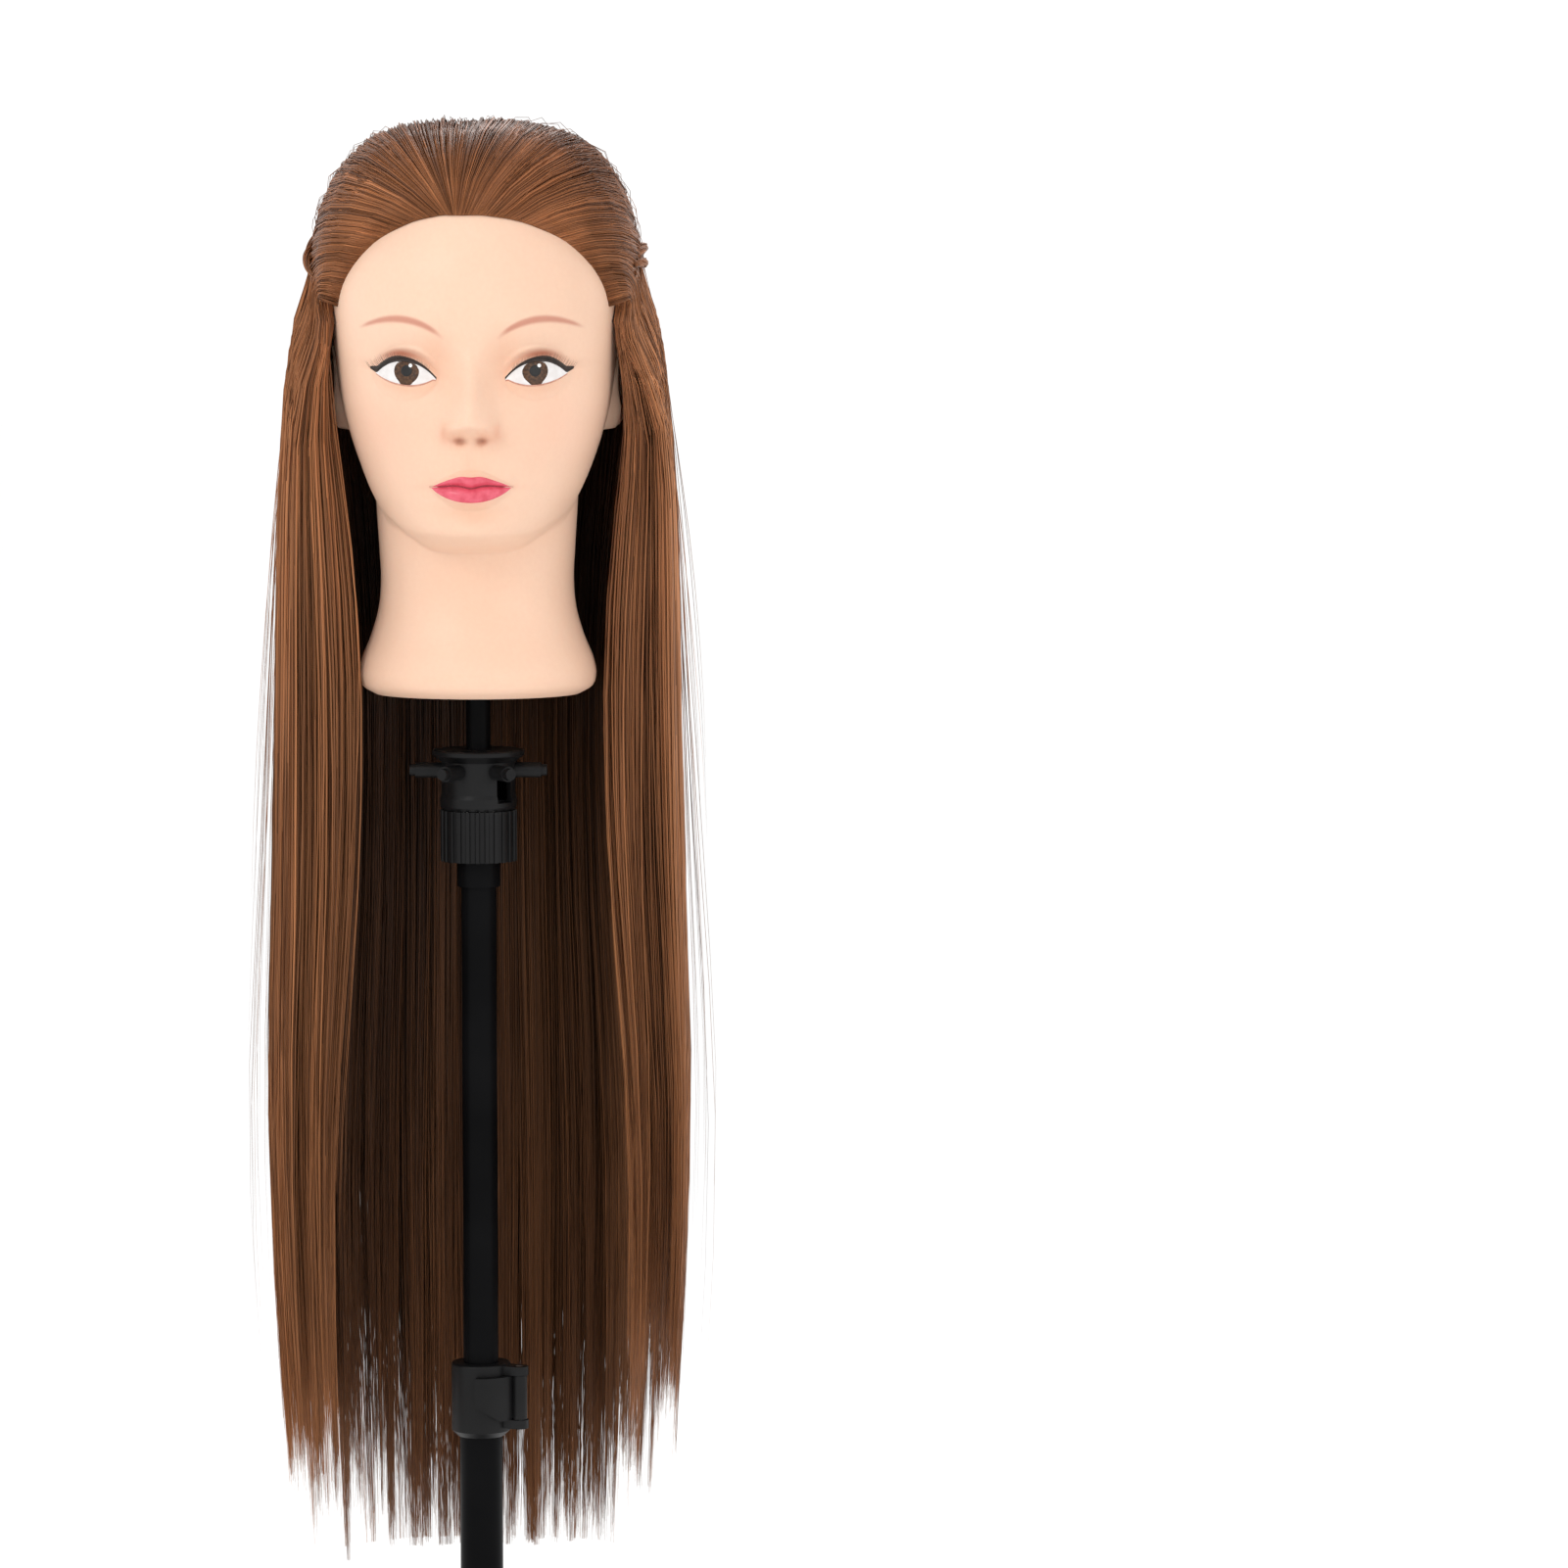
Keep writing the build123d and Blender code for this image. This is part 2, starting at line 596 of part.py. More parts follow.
def grown_skull(grow):
    """The skull from just under the split upwards, larger all round."""
    lowest = (HAIR_SPLIT_Z - 12, 70 + grow, -90 - grow, 89 + grow)
    return oval_loft([lowest] + skull_levels(grow))


skull_outside = head_form(0)
with BuildPart() as scalp_cap:
    add(grown_skull(CAP_THICK))
    add(hair_region(), mode=Mode.INTERSECT)
    add(skull_outside, mode=Mode.SUBTRACT)
    add(face_shell.part, mode=Mode.SUBTRACT)
save(scalp_cap.part, "scalp_cap")

TWIST_R = 3.3
BRAID_TOP = (104.0, 1132.0)  # Y and Z


def twist(side):
    """A rope of hair from the temple round to the middle of the back."""
    with BuildPart() as rope:
        with BuildLine() as route:
            ThreePointArc((side * 81, -22, 1121), (side * 63, 69, 1132),
                          (side * 5.2, BRAID_TOP[0], BRAID_TOP[1] + 5))
        with BuildSketch(Plane(origin=route.line @ 0, z_dir=route.line % 0)):
            Circle(TWIST_R)
        sweep()
    return rope.part


twist_left = twist(-1)
twist_right = twist(1)
save(twist_left, "twist_left")
save(twist_right, "twist_right")

with BuildPart() as hair_crown:
    add(grown_skull(HAIR_THICK))
    add(hair_region(), mode=Mode.INTERSECT)
    add(grown_skull(CAP_THICK), mode=Mode.SUBTRACT)
    add(face_shell.part, mode=Mode.SUBTRACT)
    add(twist_left, mode=Mode.SUBTRACT)
    add(twist_right, mode=Mode.SUBTRACT)
save(hair_crown.part, "hair_crown")


def curtain(levels):
    """Hanging hair: a loft through rounded slabs, given as (z, x, y, thickness, depth)."""
    with BuildPart() as slab:
        for z, x, y, x_size, y_size in levels:
            with BuildSketch(Plane.XY.offset(z)):
                with Locations((x, y)):
                    RectangleRounded(x_size, y_size, min(x_size, y_size) * 0.4)
        loft()
    return slab.part


SIDE = ((HAIR_SPLIT_Z, 81, 14, 9, 76), (1000, 93, 20, 17, 88), (800, 98, 24, 18, 92),
        (600, 99, 26, 18, 88), (452, 88, 32, 12, 52))
save(curtain([(z, -x, y, t, d) for z, x, y, t, d in SIDE]), "hair_left")
save(curtain(SIDE), "hair_right")
save(curtain(((HAIR_SPLIT_Z, 0, 98, 130, 9), (1000, 0, 102, 164, 14), (800, 0, 103, 172, 15),
              (600, 0, 101, 172, 15), (447, 0, 96, 120, 10))), "hair_back")

BRAID_Y = 121.0
BRAID_END = 883.0


def strand(levels):
    """A hanging rope of hair: a loft through circles, given as (z, y, radius)."""
    with BuildPart() as rope:
        for z, y, radius in levels:
            with BuildSketch(Plane.XY.offset(z)):
                with Locations((0, y)):
                    Circle(radius)
        loft()
    return rope.part


save(strand(((BRAID_TOP[1] + 9, BRAID_TOP[0], 4.2), (BRAID_TOP[1] + 5, BRAID_TOP[0], 4.8),
             (BRAID_TOP[1], BRAID_TOP[0], 4.2))), "hair_tie_top")
save(strand(((BRAID_TOP[1], BRAID_TOP[0], 4.2), (1100, 112, 5.6), (1060, 118.6, 6),
             (1000, BRAID_Y, 6), (BRAID_END, BRAID_Y, 4))), "braid")
save(strand(((BRAID_END, BRAID_Y, 4), (BRAID_END - 3, BRAID_Y, 4.4),
             (BRAID_END - 6, BRAID_Y, 4))), "hair_tie_end")
save(strand(((BRAID_END - 6, BRAID_Y, 3), (BRAID_END - 26, BRAID_Y, 3.4),
             (BRAID_END - 46, BRAID_Y, 1.2))), "braid_tail")

# ---------------------------------------------------------------- one frame for all, and the files
# The frame's origin is the middle of the footprint, on the floor.
reach = [pieces[f"foot_{number}"].bounding_box() for number in (1, 2, 3)]
FRAME_Y = -(min(box.min.Y for box in reach) + max(box.max.Y for box in reach)) / 2

if __name__ == "__main__":
    for name, piece in pieces.items():
        placed = Pos(0, FRAME_Y, 0) * piece
        placed.label = name
        export_step(placed, f"parts/{name}.step")
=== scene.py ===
import json
import math

import bmesh
import bpy
import numpy as np
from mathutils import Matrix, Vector


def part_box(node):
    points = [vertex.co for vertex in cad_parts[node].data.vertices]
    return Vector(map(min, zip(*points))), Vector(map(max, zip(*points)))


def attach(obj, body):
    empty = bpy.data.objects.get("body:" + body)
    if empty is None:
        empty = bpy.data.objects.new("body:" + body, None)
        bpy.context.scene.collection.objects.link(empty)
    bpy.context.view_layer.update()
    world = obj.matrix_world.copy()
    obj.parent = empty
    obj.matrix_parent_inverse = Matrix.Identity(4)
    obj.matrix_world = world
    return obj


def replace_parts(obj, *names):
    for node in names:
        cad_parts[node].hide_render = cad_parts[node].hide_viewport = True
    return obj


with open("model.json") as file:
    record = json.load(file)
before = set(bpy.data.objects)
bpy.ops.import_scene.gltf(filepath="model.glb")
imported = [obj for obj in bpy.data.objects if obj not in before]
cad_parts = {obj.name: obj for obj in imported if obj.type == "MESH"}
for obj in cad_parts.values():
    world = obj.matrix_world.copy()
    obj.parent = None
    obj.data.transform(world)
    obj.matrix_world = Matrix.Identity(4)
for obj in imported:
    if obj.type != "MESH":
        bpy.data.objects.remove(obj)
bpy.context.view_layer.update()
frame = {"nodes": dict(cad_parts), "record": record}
rng = np.random.default_rng(7)

MM = 0.001
TAU = 2 * math.pi
LEVEL = np.array([1, 1, 0.0])  # drops the height of a point

# ------------------------------------------------------------------ places taken from the frame
tube_low, tube_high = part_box("lower_tube")
POLE = ((tube_low[0] + tube_high[0]) / 2, (tube_low[1] + tube_high[1]) / 2)
NECK_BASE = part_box("face_shell")[0][2] / MM
HAIR_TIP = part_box("hair_back")[0][2] / MM


# ------------------------------------------------------------------ small helpers
def smooth(value, low, high):
    """0 below low, 1 above high, and a smooth step between."""
    t = np.clip((value - low) / (high - low), 0, 1)
    return t * t * (3 - 2 * t)


def bump(x, centre, width):
    """A bell of height 1."""
    return np.exp(-0.5 * ((x - centre) / width) ** 2)


def curve_through(keys, values, at):
    """A smooth curve through a few key values (cubic, with the slopes of its neighbours)."""
    keys, values = np.asarray(keys, float), np.asarray(values, float)
    slope = np.gradient(values, keys)
    at = np.clip(at, keys[0], keys[-1])
    i = np.clip(np.searchsorted(keys, at) - 1, 0, len(keys) - 2)
    h = keys[i + 1] - keys[i]
    t = (at - keys[i]) / h
    a = values[i] * (1 + 2 * t) * (1 - t) ** 2 + slope[i] * h * t * (1 - t) ** 2
    return a + values[i + 1] * t * t * (3 - 2 * t) + slope[i + 1] * h * t * t * (t - 1)


def placed(points):
    """Millimetres from the pole's axis to the frame's metres."""
    out = np.asarray(points, float) * MM
    out[..., 0] += POLE[0]
    out[..., 1] += POLE[1]
    return out


def mesh_object(name, verts, faces, material, body, uv=None, outward=False):
    """A mesh from an array of points in metres and arrays of faces, one for each number of sides."""
    corners = np.concatenate([np.asarray(group, np.int32).ravel() for group in faces])
    sizes = np.concatenate([np.full(len(group), len(group[0]), np.int32) for group in faces])
    mesh = bpy.data.meshes.new(name)
    mesh.vertices.add(len(verts))
    mesh.vertices.foreach_set("co", np.asarray(verts, np.float32).ravel())
    mesh.loops.add(len(corners))
    mesh.loops.foreach_set("vertex_index", corners)
    mesh.polygons.add(len(sizes))
    mesh.polygons.foreach_set("loop_start", np.cumsum(sizes, dtype=np.int32) - sizes)
    mesh.polygons.foreach_set("use_smooth", np.ones(len(sizes), bool))
    if uv is not None:
        layer = mesh.uv_layers.new(name="OFBake")
        layer.data.foreach_set("uv", np.asarray(uv, np.float32)[corners].ravel())
    mesh.update(calc_edges=True)
    if outward:
        shell = bmesh.new()
        shell.from_mesh(mesh)
        bmesh.ops.recalc_face_normals(shell, faces=shell.faces)
        shell.to_mesh(mesh)
        shell.free()
    mesh.materials.append(material)
    obj = bpy.data.objects.new(name, mesh)
    bpy.context.scene.collection.objects.link(obj)
    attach(obj, body)
    return obj


def grid_faces(rows, columns, wrap):
    """Quads of a grid of points, row by row, wrapped round if the rows are closed."""
    r = np.arange(rows - 1)[:, None] * columns
    c = np.arange(columns if wrap else columns - 1)[None, :]
    n = (c + 1) % columns
    return np.stack([r + c, r + n, r + columns + n, r + columns + c], axis=-1).reshape(-1, 4)


def unit(vector, least=0.0):
    """The vectors' directions; least keeps a zero length from dividing."""
    return vector / (np.linalg.norm(vector, axis=-1, keepdims=True) + least)


def thick_sheet(outer, inner):
    """Points and quads of a closed sheet between two grids of points."""
    rows, columns = outer.shape[:2]
    count = rows * columns
    faces = grid_faces(rows, columns, False)
    i = np.arange(count).reshape(rows, columns)
    rim = np.concatenate([i[0, :-1], i[:-1, -1], i[-1, :0:-1], i[:0:-1, 0]])
    following = np.roll(rim, -1)
    wall = np.stack([following, rim, rim + count, following + count], axis=1)
    verts = np.concatenate([outer.reshape(-1, 3), inner.reshape(-1, 3)])
    return verts, np.concatenate([faces, faces[:, ::-1] + count, wall])


def tubes(paths, radius, sides=3, taper=0.25, flat=1.0):
    """Closed thin tubes round many paths at once. Returns points, quads, end triangles and uvs.

    taper is the share of the length over which the end thins; flat widens the tube sideways.
    """
    n, m = paths.shape[:2]
    tangent = unit(np.gradient(paths, axis=1), 1e-9)
    outward = unit(paths * LEVEL, 1e-9)
    across = unit(np.cross(tangent, outward), 1e-9)
    normal = np.cross(across, tangent)
    t = np.linspace(0, 1, m)
    profile = np.minimum(1, (1 - t) / taper) ** 0.7 * np.minimum(1, 0.35 + t * 8)
    profile[-1] = 0.12
    r = radius[:, None] * profile[None, :]
    turns = np.arange(sides) / sides * TAU
    ring = (across[:, :, None] * (np.cos(turns)[None, None, :, None] * r[..., None, None] * flat)
            + normal[:, :, None] * (np.sin(turns)[None, None, :, None] * r[..., None, None]))
    verts = (paths[:, :, None] + ring).reshape(-1, 3)
    i = np.arange(n)[:, None, None] * (m * sides)
    j = np.arange(m - 1)[None, :, None] * sides
    k = np.arange(sides)[None, None, :]
    k2 = (k + 1) % sides
    quads = np.stack(np.broadcast_arrays(i + j + k, i + j + k2, i + j + sides + k2,
                                         i + j + sides + k), -1)
    first = (np.arange(n) * m * sides)[:, None]
    last = first + (m - 1) * sides
    if sides == 3:
        caps = np.concatenate([first + np.array([[2, 1, 0]]), last + np.array([[0, 1, 2]])])
    else:
        fan = np.array([[0, a, a + 1] for a in range(1, sides - 1)])
        caps = np.concatenate([(first[:, :, None] + fan[None, :, ::-1]).reshape(-1, 3),
                               (last[:, :, None] + fan[None]).reshape(-1, 3)])
    lane = (np.arange(n) % 256 + 0.5) / 256
    u = np.repeat(lane, m * sides)
    v = np.tile(np.repeat(np.linspace(0.01, 0.99, m), sides), n)
    return verts, quads.reshape(-1, 4), caps, np.stack([u, v], -1)


# ------------------------------------------------------------------ materials
class Shader:
    """A short way to write a material's nodes."""

    def __init__(self, name, **values):
        self.material = bpy.data.materials.new(name)
        self.material.use_nodes = True
        self.tree = self.material.node_tree
        self.main = self.tree.nodes["Principled BSDF"]
        for socket, value in values.items():
            self.main.inputs[socket.replace("_", " ")].default_value = value

    def node(self, kind, links=None, **values):
        made = self.tree.nodes.new(kind)
        for key, value in values.items():
            if hasattr(made, key):
                setattr(made, key, value)
            else:
                made.inputs[key.replace("_", " ")].default_value = value
        for socket, source in (links or {}).items():
            self.tree.links.new(source, made.inputs[socket])
        return made

    def coords(self, stretch=(1, 1, 1)):
        where = self.node("ShaderNodeTexCoord").outputs["Object"]
        mapping = self.node("ShaderNodeMapping", {"Vector": where})
        mapping.inputs["Scale"].default_value = stretch
        return mapping.outputs["Vector"]

    def noise(self, scale, detail=3.0, stretch=(1, 1, 1), rough=0.5):
        made = self.node("ShaderNodeTexNoise", {"Vector": self.coords(stretch)},
                         Scale=scale, Detail=detail, Roughness=rough)
        return made.outputs["Fac"]

    def ramp(self, fac, stops):
        made = self.node("ShaderNodeValToRGB", {"Fac": fac})
        while len(made.color_ramp.elements) < len(stops):
            made.color_ramp.elements.new(0.5)
        for element, (place, colour) in zip(made.color_ramp.elements, stops):
            element.position = place
            element.color = (*colour, 1) if len(colour) == 3 else colour
        return made.outputs["Color"]

    def spread(self, fac, low, high, start=0.0, end=1.0):
        made = self.node("ShaderNodeMapRange", {"Value": fac})
        for socket, value in (("From Min", start), ("From Max", end), ("To Min", low),
                              ("To Max", high)):
            made.inputs[socket].default_value = value
        return made.outputs["Result"]

    def mix(self, a, b, fac, mode="MIX"):
        made = self.node("ShaderNodeMix", data_type="RGBA", blend_type=mode)
        for socket, value in ((0, fac), (6, a), (7, b)):
            if isinstance(value, bpy.types.NodeSocket):
                self.tree.links.new(value, made.inputs[socket])
            else:
                full = (*value, 1) if isinstance(value, tuple) and len(value) == 3 else value
                made.inputs[socket].default_value = full
        return made.outputs[2]

    def two_tones(self, fac, dark, light, low=0.3, high=0.7):
        """The base colour, mottled between two close tones."""
        self.to("Base Color", self.ramp(fac, [(low, dark), (high, light)]))

    def bump(self, height, distance, strength=1.0):
        made = self.node("ShaderNodeBump", {"Height": height}, Strength=strength,
                         Distance=distance)
        self.tree.links.new(made.outputs["Normal"], self.main.inputs["Normal"])

    def to(self, socket, source):
        self.tree.links.new(source, self.main.inputs[socket])


PLAIN = (1, 1, 1)  # noise that is not stretched


def mottled(name, scale, dark, light, rough_scale, rough, grain_scale, depth, strength,
            rough_stretch=PLAIN, grain_stretch=PLAIN, grain_detail=3.0, stops=(0.3, 0.7), **sockets):
    """Two close tones mottled together, uneven gloss between two values, and a fine grain."""
    s = Shader(name, **sockets)
    s.two_tones(s.noise(scale), dark, light, *stops)
    s.to("Roughness", s.spread(s.noise(rough_scale, stretch=rough_stretch), *rough))
    s.bump(s.noise(grain_scale, detail=grain_detail, stretch=grain_stretch), depth, strength)
    return s.material


def paint_material(name, dark, light, rough, scale=260, grain=0.00005):
    """Paint on the vinyl."""
    return mottled(name, scale, dark, light, 150, (rough - 0.04, rough + 0.06), 1500, grain, 0.4,
                   stops=(0.35, 0.65), IOR=1.46)


def skin_material(name, painted):
    s = Shader(name, Subsurface_Weight=0.12, IOR=1.45, Specular_IOR_Level=0.35,
               Subsurface_Radius=(0.006, 0.003, 0.002), Subsurface_Scale=1.0)
    tone = s.ramp(s.noise(14, detail=2), [(0.3, (0.84, 0.560, 0.405)), (0.7, (0.89, 0.605, 0.445))])
    mottle = s.ramp(s.noise(420, detail=2), [(0.3, (0.985, 0.97, 0.965)), (0.7, (1, 1, 1))])
    skin = s.mix(tone, mottle, 1.0, "MULTIPLY")
    if painted:
        paint = s.node("ShaderNodeVertexColor", layer_name="makeup_and_shade").outputs["Color"]
        skin = s.mix(skin, paint, 1.0, "MULTIPLY")
    s.to("Base Color", skin)
    s.to("Roughness", s.spread(s.noise(30), 0.38, 0.48))
    s.bump(s.noise(1300, detail=2), 0.00008, 0.35)
    return s.material


def iris_material():
    """Brown iris: the rays come from stretched noise."""
    s = Shader("iris_paint", IOR=1.5, Specular_IOR_Level=0.25, Coat_Weight=0.15, Coat_Roughness=0.05)
    rays = s.noise(900, detail=4, stretch=(1, 0.2, 1))
    s.two_tones(rays, (0.030, 0.014, 0.008), (0.13, 0.060, 0.028))
    s.to("Roughness", s.spread(s.noise(200), 0.15, 0.25))
    s.bump(rays, 0.00005, 0.3)
    return s.material


TIPS_HEIGHT, CROWN_HEIGHT = 0.44, 1.2  # metres over the floor, for the hair's change of colour


def shaded(colour, share):
    return tuple(c * share for c in colour)


def hair_material(name, top, tips):
    """Synthetic hair: each strand has its own tone, and the crown is darker than the lengths.

    top and tips scale the colour at the crown and at the ends: painted shade for hair that lies in the
    shade.
    """
    s = Shader(name, IOR=1.5, Specular_IOR_Level=0.22)
    height = s.node("ShaderNodeSeparateXYZ", {"Vector": s.coords()}).outputs["Z"]
    low, mid, high = (0.375, 0.158, 0.066), (0.390, 0.170, 0.076), (0.235, 0.088, 0.034)
    along = s.ramp(s.spread(height, 0, 1, TIPS_HEIGHT, CROWN_HEIGHT), [
        (0.0, shaded(low, tips)), (0.33, shaded(low, (top + tips) / 2 * 0.86)),
        (0.70, shaded(mid, top)), (1.0, shaded(high, max(top, 0.75)))])
    own = s.node("ShaderNodeNewGeometry").outputs["Random Per Island"]
    tone = s.ramp(own, [(0.0, (0.42, 0.39, 0.37)), (0.45, (0.92, 0.90, 0.88)),
                        (0.8, (1.2, 1.17, 1.13)), (1.0, (1.75, 1.7, 1.62))])
    patch = s.ramp(s.noise(24, detail=2, stretch=(1, 1, 0.12)),
                   [(0.3, (0.66, 0.63, 0.60)), (0.7, (1.28, 1.28, 1.28))])
    s.to("Base Color", s.mix(s.mix(along, tone, 1.0, "MULTIPLY"), patch, 1.0, "MULTIPLY"))
    s.to("Roughness", s.spread(s.noise(50, stretch=(1, 1, 0.1)), 0.30, 0.44))
    return s.material


def under_material():
    """Painted shade: the very dark middle of the hair."""
    s = Shader("hair_under_painted_shade", Specular_IOR_Level=0.08)
    s.two_tones(s.noise(300, stretch=(1, 1, 0.05)), (0.012, 0.006, 0.0035), (0.040, 0.019, 0.010))
    s.to("Roughness", s.spread(s.noise(80), 0.7, 0.9))
    return s.material


MAT = {
    "tube": mottled("black_tube", 18, (0.0025, 0.0025, 0.0028), (0.005, 0.005, 0.0055), 60,
                    (0.26, 0.42), 900, 0.00006, 0.5, rough_stretch=(1, 1, 0.15), IOR=1.5,
                    Specular_IOR_Level=0.04),
    "plastic": mottled("black_plastic", 25, (0.004, 0.004, 0.0042), (0.009, 0.009, 0.0095), 40,
                       (0.30, 0.48), 1600, 0.0001, 0.5, grain_detail=2, IOR=1.48,
                       Specular_IOR_Level=0.20),
    "steel": mottled("brushed_steel", 200, (0.45, 0.45, 0.46), (0.62, 0.62, 0.63), 300,
                     (0.25, 0.45), 1500, 0.00004, 0.4, rough_stretch=(1, 1, 6),
                     grain_stretch=(1, 1, 8), Metallic=1.0),
    "rubber": mottled("rubber", 60, (0.012, 0.012, 0.012), (0.026, 0.026, 0.025), 90, (0.6, 0.8),
                      1200, 0.00015, 0.6, IOR=1.5),
    "nylon": mottled("nylon", 80, (0.62, 0.61, 0.56), (0.72, 0.71, 0.67), 120, (0.35, 0.5), 900,
                     0.00006, 0.4, IOR=1.5, Subsurface_Weight=0.1,
                     Subsurface_Radius=(0.002, 0.002, 0.002)),
    "net": mottled("cap_net", 700, (0.045, 0.022, 0.013), (0.10, 0.052, 0.030), 300, (0.7, 0.9),
                   1400, 0.0003, 0.8, stops=(0.35, 0.65), Sheen_Weight=0.2),
    "elastic": paint_material("hair_elastic", (0.095, 0.040, 0.020), (0.17, 0.075, 0.038), 0.8,
                              2500, 0.0003),
    "skin": skin_material("vinyl_skin", False),
    "face": skin_material("vinyl_face", True),
    "lips": paint_material("lip_paint", (0.66, 0.075, 0.115), (0.78, 0.125, 0.18), 0.24),
    # painted shade for the gap between the lips
    "mouth": paint_material("mouth_line_painted_shade", (0.30, 0.025, 0.04), (0.42, 0.04, 0.06), 0.5, 500),
    "shadow": paint_material("eyeshadow", (0.50, 0.22, 0.15), (0.66, 0.34, 0.25), 0.5, 400),
    "lash": paint_material("lash_line", (0.012, 0.007, 0.005), (0.035, 0.018, 0.012), 0.45),
    "white": paint_material("eye_white", (0.78, 0.74, 0.72), (0.86, 0.83, 0.82), 0.22),
    "iris": iris_material(),
    "pupil": paint_material("pupil_paint", (0.002, 0.002, 0.002), (0.005, 0.004, 0.004), 0.3),
    "glint": paint_material("glint_painted_highlight", (0.9, 0.9, 0.9), (0.98, 0.98, 0.98), 0.2),
    "hair": hair_material("hair_strands", 1.0, 1.0),
    # a copy of the hair in painted shade: very dark at the crown, lighter at the ends
    "hair_shaded": hair_material("hair_painted_shade_strands", 0.09, 0.60),
    "under": under_material(),
}
SLOT_MATERIAL = {
    "tube_black": "tube", "plastic_black": "plastic", "steel": "steel", "spindle_black": "tube",
    "nylon": "nylon", "rubber_foot": "rubber", "vinyl_skin": "skin", "socket_plastic": "plastic",
    "cap_net": "net", "hair": "under", "hair_elastic": "elastic",
}
for part in frame["record"]["subparts"]:
    node = frame["nodes"][part["node"]]
    for material_slot in node.material_slots:
        material_slot.material = MAT[SLOT_MATERIAL[part["material_slot"]]]

# ------------------------------------------------------------------ the head's surface
# Distances in millimetres from the pole's axis; heights are above the neck's base.
NECK_Z = (0, 3, 9, 17, 29, 44, 59, 72, 95, 120)
NECK_WIDE = (52, 57.5, 60.3, 59.3, 54.5, 50.2, 49, 49.6, 51, 52)
NECK_FRONT = (49, 54, 57.2, 56, 51.5, 47.5, 46, 46.5, 48, 50)
NECK_BACK = (54, 59, 62.2, 61.5, 59, 57.5, 58, 61, 68, 74)
HEAD_Z = (70, 84, 99, 119, 146, 169, 189, 209, 229, 249)
HEAD_WIDE = (30, 43, 51.5, 59.5, 67.5, 71, 73, 73, 68, 59)
HEAD_FRONT = (70, 81, 84, 86, 87, 88.3, 90.5, 91, 85, 73)
HEAD_BACK = (50, 55, 62, 74, 86, 92, 94, 93, 85, 72)
JAW_ROUND = 12.0  # height over which the jaw's underside rounds off
JAW_MELT = 5.0  # how far the jaw and neck run into each other
SIDE_POWER = 2.15  # how square the face is across; 2 is an ellipse
SKULL_Y, SKULL_Z = 3.0, 189.0  # centre of the skull's ellipsoid
SKULL_WIDE, SKULL_FRONT, SKULL_BACK, SKULL_HIGH = 73.5, 100.0, 91.0, 92.0


def oval(angle, wide, front, back, power):
    """Distance of an oval from the axis; angle 0 is the front."""
    deep = np.where(np.cos(angle) > 0, front, back)
    p = np.where(np.cos(angle) > 0, power, 2.0)
    total = (np.abs(np.sin(angle)) / wide) ** p + (np.abs(np.cos(angle)) / deep) ** p
    return total ** (-1 / p)


def head_radius(angle, h):
    """Neck and head together, before the features of the face."""
    neck = oval(angle, curve_through(NECK_Z, NECK_WIDE, h), curve_through(NECK_Z, NECK_FRONT, h),
                curve_through(NECK_Z, NECK_BACK, h), 2.0)
    rise = np.sqrt(np.clip(1 - ((h - SKULL_Z) / SKULL_HIGH) ** 2, 1e-4, 1))
    top = smooth(h, 200, 235)
    wide = (1 - top) * curve_through(HEAD_Z, HEAD_WIDE, h) + top * SKULL_WIDE * rise
    front = (1 - top) * curve_through(HEAD_Z, HEAD_FRONT, h) + top * (SKULL_FRONT * rise - SKULL_Y)
    back = (1 - top) * curve_through(HEAD_Z, HEAD_BACK, h) + top * (SKULL_BACK * rise + SKULL_Y)
    skull = oval(angle, wide, np.maximum(front, 1), back, SIDE_POWER - 0.15 * top)
    side = np.abs((angle + math.pi) % TAU - math.pi)
    jaw = 73 + 10 * smooth(side, 0.35, 1.0) + 44 * smooth(side, 0.95, 2.0)
    t = np.clip((h - jaw) / JAW_ROUND, 0, 1)
    skull = neck * 0.8 + (skull - neck * 0.8) * np.sqrt(1 - (1 - t) ** 2)
    blend = np.clip(0.5 + 0.5 * (skull - neck) / JAW_MELT, 0, 1)
    both = neck + (skull - neck) * blend + JAW_MELT * blend * (1 - blend)
    return np.where(h < 60, neck, np.where(h < 150, both, skull))


# Features: distances from the middle of the face, heights above the neck's base.
EYE_X, EYE_Z = 32.3, 164.0
EYE_HALF = 15.2
IRIS_RADIUS, PUPIL_RADIUS, GLINT_RADIUS = 7.3, 3.4, 1.1
MOUTH_Z, MOUTH_HALF = 107.6, 20.0
NOSE_TIP = 141.0
BROW_IN, BROW_OUT = 14.0, 56.5
# Soft swellings: how far forward, distance from the middle, its spread, height, its spread.
FORMS = (
    (-5.0, EYE_X, 14, EYE_Z + 3, 10),  # eye sockets
    (-4.2, 15, 6, EYE_Z + 5, 9),  # beside the nose's bridge
    (1.8, 27, 17, 190, 7),  # brow bones
    (2.6, 44, 16, 144, 14),  # cheek bones
    (3.0, 0, 9, NOSE_TIP - 2, 12),  # root of the nose
    (6.0, 9.0, 3.3, NOSE_TIP - 5.5, 4.4),  # its wings
    (-1.3, 14.0, 2.2, NOSE_TIP - 5, 5.5),  # creases beside them
    (-4.2, 5.4, 2.0, NOSE_TIP - 10.0, 1.8),  # nostrils
    (3.0, 0, 17, MOUTH_Z, 11),  # round the mouth
    (-1.4, 21.5, 2.6, MOUTH_Z, 3),  # corners of the mouth
    (-2.4, 0, 12, MOUTH_Z - 13.5, 3.2),  # under the lower lip
    (-1.0, 0, 1.9, MOUTH_Z + 12, 4.5),  # groove under the nose
    (4.4, 0, 12, MOUTH_Z - 24.5, 7.5),  # chin
    (-1.2, 31, 7, MOUTH_Z + 4, 12),  # hollow of the cheeks
)
